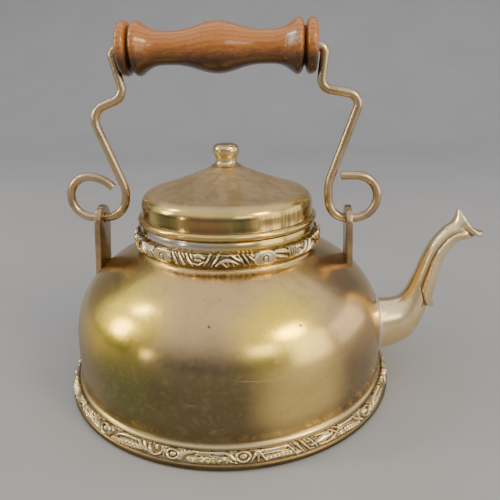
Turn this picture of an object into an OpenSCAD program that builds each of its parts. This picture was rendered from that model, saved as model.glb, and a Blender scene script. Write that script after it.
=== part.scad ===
/* [Body] */
// Diameter of the foot rim, the widest round of the kettle
foot_d = 200; // [194:1:206]
// Diameter of the spun wall where it is fullest
body_d = 188; // [184:1:190]
// Diameter of the neck under the lid
neck_d = 100; // [96:1:104]
// Height of the foot's slope, on which the ornament strip ends
flange_h = 9.5; // [9:0.1:10.5]
// Height at which the shoulder starts to turn in
shoulder_h = 34; // [30:1:40]
// Height of the ledge at the root of the neck
neck_h = 86; // [84:0.5:90]
// Height of the mouth's top edge
mouth_h = 100.3; // [99:0.1:104]
// Thickness of the spun sheet
wall = 1; // [0.8:0.1:1.2]
// Thickness of the pan's flat floor
pan_floor = 1.2; // [0.8:0.1:2]

/* [Ornament] */
// Repeats of the scroll motif round the foot
foot_repeats = 4; // [3:1:5]
// Angle of a motif's first ringed boss on the foot
foot_turn = -126.8; // [-180:0.1:180]
// Repeats of the leaf motif round the neck
neck_repeats = 6; // [5:1:7]
// Angle of a motif's plain cartouche on the neck
neck_turn = -63.8; // [-180:0.1:180]
// Height of the relief on the foot strip
foot_relief = 0.9; // [0.3:0.1:1]
// Height of the relief on the neck gallery
neck_relief = 0.8; // [0.3:0.1:1]

/* [Lid] */
// Diameter of the lid's straight side
lid_d = 101; // [100.2:0.1:101.2]
// Height at which the lid's side turns into the dome
lid_side_h = 109.5; // [107:0.5:112]
// Height of the seat under the knob
lid_top_h = 131.6; // [128:0.1:135]
// Radius of the rolled bead at the lid's edge
lid_bead_r = 2.2; // [1.8:0.1:2.4]
// Depth of the collar that drops into the neck
collar_depth = 6.5; // [4:0.5:8]
// Height of the knob
knob_h = 12.6; // [11:0.1:14]
// Diameter of the knob's bun
knob_d = 15.2; // [15:0.1:17]

/* [Bail] */
// Diameter of the bent brass rod
rod_d = 5; // [4:0.5:5]
// Height of the swing axis through the ears
axis_h = 99.8; // [99:0.1:100.5]
// Height of the rod's top run, inside the grip
grip_h = 195.3; // [193:0.1:200]
// Place of the left ear along X
ear_left_x = -77.2; // [-78:0.1:-76.5]
// Place of the right ear along X
ear_right_x = 71.9; // [71.9:0.1:73]
// How far the left ear leans out at its foot, in degrees
ear_left_lean = 4.5; // [0:0.5:6]
// How far the right ear leans out at its foot, in degrees
ear_right_lean = 2.5; // [0:0.5:6]
// Thickness of an ear
ear_t = 3.5; // [3:0.1:4]
// Width of an ear, which is also the diameter of its round top
ear_w = 20; // [16:1:22]

/* [Grip] */
// Length of the turned grip
grip_len = 108.4; // [107:0.2:108.4]
// Diameter of the beads at the grip's ends
grip_bead_d = 28.8; // [26:0.2:32]
// Diameter of the grip's belly
grip_belly_d = 27; // [24:0.5:30]
// Diameter of the grip's two waists
grip_waist_d = 17.6; // [15:0.2:20]
// Place of the grip's middle along X
grip_x = -3; // [-3:0.1:-2.9]

/* [Spout] */
// Wall thickness of the cast spout
spout_wall = 1.6; // [1.2:0.1:2]
// Height of the spout's root on the body
spout_root_h = 31; // [30:0.5:33]
// Radius of the hole in the body behind the spout
spout_hole_r = 10; // [6:0.5:11]
// How far the tongue leaf stands off the spout
leaf_proud = 1.5; // [0.8:0.1:2]

/* [Hidden] */
$fn = 96;

foot_r = foot_d / 2;
body_r = body_d / 2;
neck_r = neck_d / 2;
lid_r = lid_d / 2;
rod_r = rod_d / 2;
ear_hole_r = rod_r + 0.5;
grip_bore_r = rod_r + 0.3;
skirt_r = foot_r - 1.5;
band_low = 3.8;
cove_r = 3.8;
cove_c = [foot_r - 2.8, flange_h + 3.9];
neck_top = mouth_h - 3.3;
stud_r = 2;

// Curves, as lists of points in radius and height
function bezier(a, b, c, d, n) = [
    for (i = [0:n]) let (t = i / n, s = 1 - t)
        s * s * s * a + 3 * s * s * t * b + 3 * s * t * t * c + t * t * t * d
];
function arc(c, r, from, to, n) = [
    for (i = [0:n]) let (a = from + (to - from) * i / n) c + r * [cos(a), sin(a)]
];
function inset(p, t) = [
    for (i = [0:len(p) - 1])
        let (d = p[min(i + 1, len(p) - 1)] - p[max(i - 1, 0)])
            p[i] + t / norm(d) * [-d[1], d[0]]
];
function reversed(p) = [for (i = [len(p) - 1:-1:0]) p[i]];

// One smooth value through the stations of a list, read at a place between two of them
function station(list, u) =
    let (i = min(floor(u), len(list) - 2), t = u - i,
         p0 = list[max(i - 1, 0)], p1 = list[i], p2 = list[i + 1],
         p3 = list[min(i + 2, len(list) - 1)])
        0.5 * (2 * p1 + (p2 - p0) * t + (2 * p0 - 5 * p1 + 4 * p2 - p3) * t * t
            + (3 * p1 - p0 - 3 * p2 + p3) * t * t * t);

// Joins rows of equal length into a closed skin, each row being a closed loop
function skin_faces(rows, cols, wrap) = [
    for (i = [0:(wrap ? rows - 1 : rows - 2)]) for (j = [0:cols - 1])
        let (a = i * cols + j, b = i * cols + (j + 1) % cols,
             c = ((i + 1) % rows) * cols + (j + 1) % cols, d = ((i + 1) % rows) * cols + j)
            each [[a, b, c], [a, c, d]]
];

// Outer line of the spun body, from the cove at the foot to the ledge under the neck ring
body_line = concat(
    arc(cove_c, cove_r, 247, 180, 5),
    [for (i = [1:7]) bezier([cove_c[0] - cove_r, cove_c[1]], [body_r, cove_c[1] + 6],
        [body_r, shoulder_h - 5], [body_r - 0.4, shoulder_h], 7)[i]],
    [for (i = [1:16]) bezier([body_r - 0.4, shoulder_h], [body_r - 0.8, neck_h - 24],
        [neck_r + 26.7, neck_h - 11.9], [neck_r + 4.8, neck_h - 2.1], 16)[i]]
);
function body_radius(z) = lookup(z, [for (p = body_line) [p[1], p[0]]]);

module body_shell() {
    color("#a8894a")
    difference() {
        rotate_extrude()
            polygon(concat(
                [[skirt_r, band_low]],
                body_line,
                [[neck_r + 3.5, neck_h - 0.9], [neck_r + 3.4, neck_h], [neck_r, neck_h],
                 [neck_r, neck_h - wall], [neck_r + 2.6, neck_h - wall - 0.5]],
                reversed(inset(body_line, wall)),
                [[skirt_r - 1.1 * wall, band_low]]
            ));
        translate([body_radius(spout_root_h) - 6, 0, spout_root_h])
            rotate([0, 90, 0])
                cylinder(r = spout_hole_r, h = 12);
    }
}

// Solid of everything inside the body's outer line, to seat the ears on
module body_core() {
    rotate_extrude()
        polygon(concat([[0, flange_h]], body_line, [[0, neck_h - 2.1]]));
}

module base_pan() {
    rim_r = band_low / 2;
    color("#9c6b45")
    rotate_extrude()
        polygon(concat(
            [[0, 0]],
            arc([foot_r - rim_r, rim_r], rim_r, -90, 90, 10),
            [[skirt_r - 2.2, band_low], [skirt_r - 2.2, pan_floor], [0, pan_floor]]
        ));
}

// Height of one raised form, between 0 and 1, at a place given from the form's middle: half
// length and half height, and how far it leans over for each millimetre of height
function form(ds, dz, length, height, lean) =
    let (s = (ds - lean * dz) / length, z = dz / height) sqrt(max(0, 1 - s * s - z * z));

// The highest of a motif's forms at a place; each form is a row of its place in shares of the
// motif, height above the strip's middle, half length, half height, lean and share of the relief
function relief(forms, s, z, motif) =
    max([
        for (f = forms)
            let (ds = s - f[0] * motif, near = ds - motif * round(ds / motif))
            f[5] * form(near, z - f[1], f[2], f[3], f[4])
    ]);

// Foot motif: ringed bosses, smooth bars over hatched leaves, curled scrolls and leaning ribs
foot_forms = [
    [0, 0.6, 3.9, 4.1, 0, 1], [0.05, 0, 2.2, 3.6, 0.3, 0.6],
    [0.105, 2.9, 6.8, 1.7, 0, 0.8], [0.11, -2, 9.5, 2.3, 0.8, 0.45],
    [0.165, 0, 1.3, 4.4, -0.3, 0.6], [0.19, 0, 1.3, 4.4, -0.3, 0.6],
    [0.217, 0.5, 3.8, 4.2, 0, 0.75], [0.279, 0.5, 3.6, 4, 0, 1],
    [0.328, -0.5, 3.4, 3.9, 0.4, 0.6], [0.403, 3, 7.2, 1.8, 0, 0.8],
    [0.405, -2.3, 10.5, 2.3, 0, 0.5], [0.463, 1, 1.8, 4, -0.5, 0.75],
    [0.503, 0.9, 3.9, 4.1, 0, 1], [0.55, 0, 3, 3.6, 0, 0.5],
    [0.609, 3, 6.8, 1.7, 0, 0.8], [0.633, -1.8, 8, 2, -0.6, 0.5],
    [0.69, 0, 1.4, 4.4, -0.5, 0.7], [0.717, 0, 1.4, 4.4, -0.5, 0.7],
    [0.744, 0, 1.4, 4.4, -0.5, 0.7], [0.783, 0.3, 4.6, 2.8, 0, 0.85],
    [0.828, 0, 1.4, 4.2, -0.6, 0.6], [0.885, 3, 5.2, 1.7, 0, 0.75],
    [0.9, -2, 7, 2.2, -0.6, 0.5], [0.955, 0, 1.4, 4.4, -0.5, 0.6]
];

// Neck motif: a plain cartouche with a boss, leaves, ribs that lean to and fro, and a plain lobe
neck_forms = [
    [0, 0.3, 5.6, 4.8, 0, 0.85], [0, -0.4, 2.6, 2.6, 0, 1],
    [0.155, 0.4, 1.5, 3.8, -0.5, 0.8], [0.222, 0.4, 1.5, 3.8, -0.5, 0.85],
    [0.292, 0.4, 1.5, 3.8, -0.4, 0.9], [0.4, 0.4, 3.6, 2.8, 0, 0.8],
    [0.48, 0.6, 1.5, 4, 0.6, 0.9], [0.547, 0.6, 1.5, 4, 0.6, 0.9],
    [0.647, -1.4, 5.2, 2.4, 0, 0.9], [0.73, 1.4, 1.6, 3, -1, 0.8],
    [0.79, 0.4, 1.5, 3.8, -0.8, 0.85], [0.855, 0.4, 1.5, 3.8, -0.8, 0.8]
];

// A ring whose section, given as points in radius and height, changes with the angle
module relief_ring(sections) {
    n = len(sections);
    m = len(sections[0]);
    points = [
        for (i = [0:n - 1]) for (p = sections[i])
            [p[0] * cos(360 * i / n), p[0] * sin(360 * i / n), p[1]]
    ];
    polyhedron(points, skin_faces(n, m, true), convexity = 8);
}

module foot_band() {
    rows = 8;
    n = 256;
    fit = 1 / cos(180 / n);
    low = [skirt_r + 0.45, band_low];
    high = [cove_c[0] - 1.15, flange_h + 0.1];
    lean = atan2(high[1] - low[1], high[0] - low[0]) - 90;
    round_len = 2 * PI * foot_r;
    color("#b5a878")
    relief_ring([
        for (i = [0:n - 1])
            let (s = (i / n - foot_turn / 360) * round_len)
            concat(
                [[skirt_r * fit, band_low]],
                [for (k = [0:rows - 1])
                    let (v = k / (rows - 1), edge = sqrt(sin(180 * v)),
                         form = relief(foot_forms, s, (v - 0.5) * 9.4, round_len / foot_repeats))
                    low + (high - low) * v
                        + edge * (0.5 + foot_relief * form) * [cos(lean), sin(lean)]],
                [[(cove_c[0] - 1.3) * fit, flange_h]]
            )
    ]);
}

module neck_band() {
    rows = 7;
    n = 180;
    root_r = neck_r + 0.02;
    round_len = 2 * PI * (neck_r + 5);
    cell = round_len / neck_repeats;
    color("#b9b08a")
    relief_ring([
        for (i = [0:n - 1])
            let (s = (i / n - neck_turn / 360) * round_len,
                 top = neck_h + 9.8 + 0.9 * cos(720 * s / cell) + 0.4 * cos(2160 * s / cell))
            concat(
                [[root_r, neck_h + 8], [root_r, neck_h]],
                [for (k = [0:rows - 1])
                    let (v = k / (rows - 1), z = neck_h + v * (top - neck_h),
                         edge = sqrt(sin(min(180, 20 + 165 * v))))
                    [neck_r + 3.2 + 1.9 * sin(140 * v)
                        + neck_relief * edge * relief(neck_forms, s, (v - 0.5) * 10, cell), z]],
                [[neck_r + 3.6, top - 0.3], [neck_r + 2.2, neck_h + 8.2]]
            )
    ]);
}

// Neck of the kettle, a short tube soldered into the ledge, thickened round its mouth
module mouth_ring() {
    color("#b79a5a")
    rotate_extrude()
        polygon(concat(
            [[neck_r - wall, neck_h - wall], [neck_r, neck_h - wall], [neck_r, neck_top - 1.4]],
            arc([neck_r + 0.4, neck_top - 0.8], 0.6, -90, 0, 4),
            arc([neck_r + 0.2, mouth_h - 0.8], 0.8, 0, 90, 4),
            [[neck_r - wall, mouth_h]]
        ));
}

// Stations of the spout from the body to the mouth: upper point, lower point, half width
spout_stations = [
    [body_r - 2, spout_root_h + 16.5, body_r - 0.4, spout_root_h - 16.5, 14.5],
    [98, 47.5, 102, 16, 13.2],
    [104.6, 48.8, 113.5, 22.5, 11.5],
    [109.2, 53.7, 120, 34, 9.8],
    [112.4, 61, 123.6, 47, 8.3],
    [115.1, 69, 126, 60.5, 7],
    [118.1, 78, 128, 72.5, 6.3],
    [122.2, 86.3, 131, 80.3, 5.9],
    [128.3, 94.1, 136.4, 86.8, 5.9],
    [133, 98, 143.4, 88.6, 6.4],
    [135.4, 105, 152.4, 87, 6.9]
];
spout_sides = 28;
spout_rings = 26;
leaf_from = 4;
leaf_to = 9.6;

// A point on the spout's skin: u along it, phi round it from the upper line, out from the skin
function spout_point(u, phi, out) =
    let (s = station(spout_stations, u),
         mid = [s[0] + s[2], s[1] + s[3]] / 2,
         half = [s[0] - s[2], s[1] - s[3]] / 2,
         a = half * (norm(half) + out) / norm(half),
         flare = pow(max(0, (u - 8.4) / 1.6), 2),
         back = [half[1], -half[0]] / norm(half) * 1.8 * flare * (1 - abs(cos(phi))),
         b = (s[4] + out) * (1 - 0.35 * flare * max(0, cos(phi))),
         p = mid + a * cos(phi) - back)
    [p[0], b * sin(phi), p[1]];

// The ring where the spout meets the body lies on the body's own surface
function root_point(phi, out) =
    let (z = spout_root_h + (16.5 + out) * cos(phi), y = (14.5 + out) * sin(phi))
    [sqrt(pow(body_radius(z), 2) - y * y), y, z];

// The tongue leaf, from its blunt tip upwards: half the angle it wraps and how proud it stands,
// and the ball that it ends in
function leaf_half(t) = 136 * sqrt(min(1, 0.3 + 9 * t)) - 70 * max(0, t - 0.55);
function leaf_out(t) = leaf_proud * (1 - pow(max(0, t - 0.8) / 0.2, 2));
function leaf_ball(u, phi) = 1.3 * exp(-pow((u - 4.3) / 0.35, 2) - pow((phi - 180) / 28, 2));
function leaf_lift(u, phi) =
    let (t = (u - leaf_from) / (leaf_to - leaf_from), q = abs(phi - 180) / leaf_half(max(t, 0)))
    t <= 0 || t >= 1 || q >= 1 ? 0 : leaf_out(t) * sqrt(1 - pow(q, 7)) + leaf_ball(u, phi);

function spout_ring(i, wall_in) = [
    for (j = [0:spout_sides - 1])
        let (phi = 360 * j / spout_sides, u = 10 * i / (spout_rings - 1),
             out = wall_in > 0 ? -wall_in : leaf_lift(u, phi))
        i == 0 ? root_point(phi, out) : spout_point(u, phi, out)
];

module spout() {
    outer = [for (i = [0:spout_rings - 1]) each spout_ring(i, 0)];
    inner = [for (i = [spout_rings - 1:-1:0]) each spout_ring(i, spout_wall)];
    color("#a98f55")
    polyhedron(concat(outer, inner), skin_faces(2 * spout_rings, spout_sides, true),
        convexity = 10);
}

// A flat ear with a round top, standing on the shoulder across the swing axis; it leans about
// the rod's hole
module ear(x, lean) {
    color("#9a7c4c")
    difference() {
        translate([x, 0, axis_h])
            rotate([0, lean, 0])
                rotate([90, 0, 90])
                    translate([0, 0, -ear_t / 2])
                        linear_extrude(ear_t)
                            difference() {
                                union() {
                                    translate([0, 7.8 - ear_w / 2]) circle(d = ear_w);
                                    translate([-ear_w / 2, -60]) square([ear_w, 67.8 - ear_w / 2]);
                                }
                                circle(r = ear_hole_r);
                            }
        body_core();
    }
}
module ear_left() ear(ear_left_x, ear_left_lean);
module ear_right() ear(ear_right_x, -ear_right_lean);

// Outer line of the lid, from the top of its side to the seat under the knob
lid_line = concat(
    [[lid_r, mouth_h + 4.3]],
    bezier([lid_r, lid_side_h], [lid_r, lid_side_h + 4], [lid_r - 1.7, lid_side_h + 6.4],
        [lid_r - 5.2, lid_side_h + 8.1], 8),
    [for (i = [1:10]) bezier([lid_r - 5.2, lid_side_h + 8.1], [lid_r - 13.1, lid_side_h + 10.6],
        [18.5, lid_top_h - 5.8], [8, lid_top_h], 10)[i]]
);

module lid_shell() {
    bead_c = [lid_r + 0.3, mouth_h + lid_bead_r - 0.15];
    flat_a = asin((mouth_h - bead_c[1]) / lid_bead_r);
    color("#b8963f")
    rotate_extrude()
        polygon(concat(
            [[lid_r - wall, mouth_h]],
            arc(bead_c, lid_bead_r, flat_a, 97, 12),
            lid_line,
            [[stud_r + 0.1, lid_top_h], [stud_r + 0.1, lid_top_h - wall]],
            reversed(inset(lid_line, wall))
        ));
}

module lid_collar() {
    low = mouth_h - collar_depth;
    high = mouth_h + 4.2;
    fit = neck_r - wall - 0.4;
    color("#9c8350")
    rotate_extrude()
        polygon([
            [fit - wall, low], [fit, low], [fit, high - 1], [lid_r - wall, high - 1],
            [lid_r - wall, high], [fit - wall, high]
        ]);
}

module lid_knob() {
    r = knob_d / 2;
    top = lid_top_h + knob_h;
    color("#b8963f")
    union() {
        rotate_extrude()
            polygon(concat(
                [[0, lid_top_h], [8.4, lid_top_h]],
                bezier([8.4, lid_top_h + 0.3], [7.4, lid_top_h + 0.6], [6.9, lid_top_h + 1.6],
                    [6.8, lid_top_h + 3.2], 5),
                bezier([6.8, lid_top_h + 6], [7, lid_top_h + 7.2], [r, lid_top_h + 7.4],
                    [r, lid_top_h + 9.3], 5),
                bezier([r, lid_top_h + 9.8], [r, top - 1], [6.2, top - 0.5], [4.8, top - 0.35], 6),
                [[0, top]]
            ));
        translate([0, 0, lid_top_h - 5]) cylinder(r = stud_r, h = 5.2, $fn = 32);
    }
}

module knob_nut() {
    color("#8d7a4a")
    translate([0, 0, lid_top_h - wall - 3])
        difference() {
            cylinder(d = 8.1, h = 3, $fn = 6);
            translate([0, 0, -1]) cylinder(r = stud_r, h = 5, $fn = 32);
        }
}

// Corners of the bent rod in X and Z with the bend radius at each, from scroll to scroll
rod_corners = [
    [-68.6, 118.2, 0], [-75.2, axis_h + 25, 20], [-95, axis_h + 25, 12.4], [-95, axis_h, 12.4],
    [-62.9, axis_h, 13], [-60.8, 116.5, 18], [-77.3, 162.3, 7], [-56.9, 170.2, 7],
    [-62.6, grip_h, 3.7], [55.4, grip_h, 3.5], [53.3, 173.8, 6], [76.4, 169.6, 6.5], [59.4, 120, 20],
    [61, axis_h, 11], [88.3, axis_h, 12.7], [88.3, axis_h + 25.4, 12.7],
    [66.7, axis_h + 25.4, 0]
];
rod_sides = 12;
bend_step = 15;
function flat(c) = [c[0], c[1]];
function unit(a) = [cos(a), sin(a)];
function heading(i) =
    let (d = flat(rod_corners[i + 1]) - flat(rod_corners[i])) atan2(d[1], d[0]);
function turn(i) =
    i == 0 || i == len(rod_corners) - 1 ? 0
        : let (t = heading(i) - heading(i - 1)) t - 360 * round(t / 360);
function tangent_len(i) = rod_corners[i][2] * abs(tan(turn(i) / 2));
function straight_len(i) =
    norm(flat(rod_corners[i + 1]) - flat(rod_corners[i])) - tangent_len(i) - tangent_len(i + 1);

// A bend as places with their headings; its last place is left out where the next bend follows
function bend(i) =
    let (r = rod_corners[i][2], t = turn(i), side = sign(t), from = heading(i - 1),
         c = flat(rod_corners[i]) - tangent_len(i) * unit(from) + side * r * unit(from + 90),
         n = ceil(abs(t) / bend_step), last = straight_len(i) > 0.1 ? n : n - 1)
    [for (k = [0:last]) let (h = from + t * k / n) [c - side * r * unit(h + 90), h]];

// The rod lies in the plane of X and Z: straight runs joined by bends of a true radius
module bail_rod() {
    final = len(rod_corners) - 1;
    path = concat(
        [[flat(rod_corners[0]), heading(0)]],
        [for (i = [1:final - 1]) each bend(i)],
        [[flat(rod_corners[final]), heading(final - 1)]]
    );
    points = [
        for (p = path) for (j = [0:rod_sides - 1])
            let (a = 360 * j / rod_sides, n = unit(p[1] + 90))
            [p[0][0] + rod_r * cos(a) * n[0], rod_r * sin(a), p[0][1] + rod_r * cos(a) * n[1]]
    ];
    color("#a98c5b")
    polyhedron(points, concat(
        skin_faces(len(path), rod_sides, false),
        [[for (j = [0:rod_sides - 1]) rod_sides - 1 - j]],
        [[for (j = [0:rod_sides - 1]) (len(path) - 1) * rod_sides + j]]
    ), convexity = 10);
}

// Half of the grip's turned outline, from the middle to the end: place along it and radius
function grip_half() =
    let (e = grip_len / 2, bead = grip_bead_d / 2, belly = grip_belly_d / 2,
         waist = grip_waist_d / 2)
    concat(
        bezier([0, belly], [9, belly], [14, waist], [25, waist], 10),
        bezier([29, waist], [37, waist], [36, bead - 2.6], [e - 12.6, bead - 1.6], 6),
        arc([e - 10.6, bead - 2.8], 2.8, 145, 0, 6),
        [[e - 7.2, bead - 3.6], [e - 6.6, bead - 3.6]],
        arc([e - 3.3, bead - 3], 3, 190, 10, 8),
        [[e, bead - 5]]
    );

module wood_grip() {
    half = grip_half();
    color("#7a3b1c")
    translate([grip_x, 0, grip_h])
        rotate([0, 90, 0])
            rotate_extrude()
                polygon(concat(
                    [for (p = reversed(half)) [p[1], -p[0]]],
                    [for (i = [1:len(half) - 1]) [half[i][1], half[i][0]]],
                    [[grip_bore_r, grip_len / 2], [grip_bore_r, -grip_len / 2]]
                ));
}

body_shell();
base_pan();
foot_band();
mouth_ring();
neck_band();
spout();
ear_left();
ear_right();
lid_shell();
lid_collar();
lid_knob();
knob_nut();
bail_rod();
wood_grip();
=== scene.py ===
import math

import bmesh
import bpy
import numpy as np
from mathutils import Matrix, Vector


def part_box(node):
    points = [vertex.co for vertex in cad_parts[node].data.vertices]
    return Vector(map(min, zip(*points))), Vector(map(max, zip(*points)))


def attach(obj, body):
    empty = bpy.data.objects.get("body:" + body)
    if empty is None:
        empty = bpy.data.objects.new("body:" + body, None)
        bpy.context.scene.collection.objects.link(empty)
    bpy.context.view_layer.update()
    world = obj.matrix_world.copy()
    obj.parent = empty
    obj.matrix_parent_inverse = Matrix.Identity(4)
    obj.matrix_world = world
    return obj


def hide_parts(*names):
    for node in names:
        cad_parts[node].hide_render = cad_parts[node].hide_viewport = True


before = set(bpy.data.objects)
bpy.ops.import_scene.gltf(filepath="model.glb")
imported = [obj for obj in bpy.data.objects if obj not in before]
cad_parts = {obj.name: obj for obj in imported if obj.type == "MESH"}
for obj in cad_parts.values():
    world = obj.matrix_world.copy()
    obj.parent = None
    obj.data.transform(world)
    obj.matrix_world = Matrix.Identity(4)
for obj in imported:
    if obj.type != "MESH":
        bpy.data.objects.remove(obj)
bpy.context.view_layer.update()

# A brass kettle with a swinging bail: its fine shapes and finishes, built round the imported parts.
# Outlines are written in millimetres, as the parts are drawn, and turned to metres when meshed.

MM = 0.001
SPIN_STEPS = 288
SHARP_ANGLE = math.radians(38)


def low(node):
    """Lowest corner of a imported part, in millimetres."""
    return np.array(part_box(node)[0]) / MM


def high(node):
    """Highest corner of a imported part, in millimetres."""
    return np.array(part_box(node)[1]) / MM


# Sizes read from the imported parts, in millimetres
FOOT_R = high("base_pan")[0]
STRIP_LOW = low("foot_band")[2]
FLANGE_H = high("foot_band")[2] - 0.1
NECK_H = low("neck_band")[2]
MOUTH_H = high("mouth_ring")[2]
NECK_R = high("mouth_ring")[0] - 1
LID_SEAT_H = high("lid_shell")[2]
KNOB_TOP = high("lid_knob")[2]
GRIP_LOW, GRIP_HIGH = low("wood_grip"), high("wood_grip")
GRIP_X = (GRIP_LOW[0] + GRIP_HIGH[0]) / 2
GRIP_H = (GRIP_LOW[2] + GRIP_HIGH[2]) / 2
GRIP_LEN = GRIP_HIGH[0] - GRIP_LOW[0]
EAR_W = high("ear_left")[1] * 2

# Driving sizes that the parts' boxes don't give, in millimetres
WALL = 1.0
BODY_R = 94.0
SHOULDER_H = 34.0
COVE_R = 3.8
AXIS_H = 99.8
EAR_T = 3.5
EARS = {"ear_left": (-77.2, 4.5), "ear_right": (71.9, -2.5)}
SKIRT_R = FOOT_R - 1.5
ROD_R = 2.5
LID_R = 50.5
LID_SIDE_H = 109.5
BEAD_R = 2.2
SPOUT_ROOT_H = 31.0
SPOUT_HOLE_R = 10.0


# Outlines: lists of (radius, height) points

def bezier(a, b, c, d, count):
    t = np.linspace(0, 1, count + 1)[:, None]
    a, b, c, d = (np.array(p, float) for p in (a, b, c, d))
    return (1 - t) ** 3 * a + 3 * (1 - t) ** 2 * t * b + 3 * (1 - t) * t ** 2 * c + t ** 3 * d


def arc(centre, radius, start, end, count):
    angle = np.radians(np.linspace(start, end, count + 1))
    return np.array(centre) + radius * np.stack([np.cos(angle), np.sin(angle)], -1)


def joined(*lines):
    """Lines end to end, without the points that fall on one another."""
    points = np.vstack([np.atleast_2d(np.array(line, float)) for line in lines])
    keep = np.r_[True, np.linalg.norm(np.diff(points, axis=0), axis=1) > 1e-4]
    return points[keep]


def inset(line, depth):
    """A line moved to its left by a wall's thickness."""
    along = np.gradient(line, axis=0)
    along /= np.linalg.norm(along, axis=1)[:, None]
    return line + depth * np.stack([-along[:, 1], along[:, 0]], -1)


def eased(outline, radius, bend=40):
    """A closed outline with its corners rounded, so that the edges catch light."""
    made = []
    count = len(outline)
    for i in range(count):
        before, here, after = outline[i - 1], outline[i], outline[(i + 1) % count]
        back, on = before - here, after - here
        turn = math.degrees(math.pi - math.acos(np.clip(
            back @ on / np.linalg.norm(back) / np.linalg.norm(on), -1, 1)))
        if turn < bend or here[0] < 1e-6:
            made.append(here)
            continue
        reach = min(radius, 0.4 * np.linalg.norm(back), 0.4 * np.linalg.norm(on))
        start = here + back / np.linalg.norm(back) * reach
        end = here + on / np.linalg.norm(on) * reach
        for t in (0, 0.33, 0.67, 1):
            made.append((1 - t) ** 2 * start + 2 * (1 - t) * t * here + t ** 2 * end)
    return np.array(made)


# Meshes

def in_scene(name, data):
    """A new object in the scene that holds a mesh, a lamp or a camera."""
    made = bpy.data.objects.new(name, data)
    bpy.context.scene.collection.objects.link(made)
    return made


def label_points(mesh, label, values):
    """Gives each point of a mesh a number that finishes and geometry trees can read."""
    mesh.attributes.new(label, "FLOAT", "POINT").data.foreach_set(
        "value", np.asarray(values, np.float32).ravel())


def mesh_object(name, points, faces, smooth=True):
    """A piece from points in millimetres, its faces turned outwards."""
    mesh = bpy.data.meshes.new(name)
    mesh.from_pydata((np.asarray(points) * MM).tolist(), [], faces)
    built = bmesh.new()
    built.from_mesh(mesh)
    bmesh.ops.recalc_face_normals(built, faces=built.faces)
    built.to_mesh(mesh)
    built.free()
    if smooth:
        mesh.shade_smooth()
        mesh.set_sharp_from_angle(angle=SHARP_ANGLE)
    return in_scene(name, mesh)


def spun(name, outline, steps=SPIN_STEPS, shift=None):
    """A closed outline spun round Z. shift(angle, height) gives a small change of radius."""
    angle = np.linspace(0, 2 * math.pi, steps, endpoint=False)
    points, rows = [], []
    for radius, height in outline:
        start = len(points)
        if radius < 1e-6:
            points.append((0, 0, height))
            rows.append([start] * steps)
            continue
        r = radius + (shift(angle, height) if shift else 0 * angle)
        points += np.stack([r * np.cos(angle), r * np.sin(angle), 0 * angle + height], -1).tolist()
        rows.append(list(range(start, start + steps)))
    faces = []
    for this, after in zip(rows, rows[1:] + rows[:1]):
        for j in range(steps):
            k = (j + 1) % steps
            corners = list(dict.fromkeys([this[j], this[k], after[k], after[j]]))
            if len(corners) > 2:
                faces.append(corners)
    return mesh_object(name, points, faces)


def skin(name, rows):
    """A closed skin through rows of points, each row a closed loop, the last joined to the first."""
    rows = np.asarray(rows)
    count, sides = rows.shape[:2]
    i, j = np.meshgrid(np.arange(count), np.arange(sides), indexing="ij")
    after, beside = (i + 1) % count, (j + 1) % sides
    faces = np.stack([i * sides + j, i * sides + beside, after * sides + beside,
                      after * sides + j], -1)
    return mesh_object(name, rows.reshape(-1, 3), faces.reshape(-1, 4).tolist())


def plain_mesh(piece):
    """Applies a piece's modifiers and leaves a plain mesh under the same name."""
    graph = bpy.context.evaluated_depsgraph_get()
    mesh = bpy.data.meshes.new_from_object(piece.evaluated_get(graph), depsgraph=graph)
    piece.modifiers.clear()
    old, piece.data = piece.data, mesh
    mesh.name = piece.name
    bpy.data.meshes.remove(old)
    return piece


def cut(piece, tool):
    """Takes a tool's shape out of a piece."""
    modifier = piece.modifiers.new("cut", "BOOLEAN")
    modifier.object = tool
    modifier.operation = "DIFFERENCE"
    modifier.solver = "EXACT"
    plain_mesh(piece)
    bpy.data.objects.remove(tool)
    piece.data.shade_smooth()
    piece.data.set_sharp_from_angle(angle=SHARP_ANGLE)
    return piece


def settle(piece, body, slot, finish, *nodes):
    """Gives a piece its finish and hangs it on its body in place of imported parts."""
    piece.data.materials.clear()
    piece.data.materials.append(finish)
    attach(piece, body)
    if nodes:
        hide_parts(*nodes)
    return piece


# Node trees

class Signal:
    """A socket that takes part in arithmetic: numbers use Math nodes, vectors Vector Math."""

    def __init__(self, maker, socket):
        self.maker = maker
        self.socket = socket

    def maths(self, operation, *terms):
        kind = "ShaderNodeVectorMath" if self.socket.type == "VECTOR" else "ShaderNodeMath"
        return self.maker.node(kind, {"operation": operation}, dict(enumerate(terms)))

    def __add__(self, other):
        return self.maths("ADD", self, other)

    def __radd__(self, other):
        return self.maths("ADD", other, self)

    def __sub__(self, other):
        return self.maths("SUBTRACT", self, other)

    def __rsub__(self, other):
        return self.maths("SUBTRACT", other, self)

    def __mul__(self, other):
        return self.maths("MULTIPLY", self, other)

    def __rmul__(self, other):
        return self.maths("MULTIPLY", other, self)

    def __truediv__(self, other):
        return self.maths("DIVIDE", self, other)

    def __pow__(self, other):
        return self.maths("POWER", self, other)

    def sine(self):
        return self.maths("SINE", self)

    def size(self):
        return self.maths("ABSOLUTE", self)

    def most(self, other):
        return self.maths("MAXIMUM", self, other)

    def rise(self, start, end):
        """0 before start, 1 after end, smooth between; start may be above end."""
        limits = {0: self, 1: min(start, end), 2: max(start, end)}
        limits.update({3: 0.0, 4: 1.0} if start < end else {3: 1.0, 4: 0.0})
        return self.maker.node("ShaderNodeMapRange", {"interpolation_type": "SMOOTHSTEP"}, limits)


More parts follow.
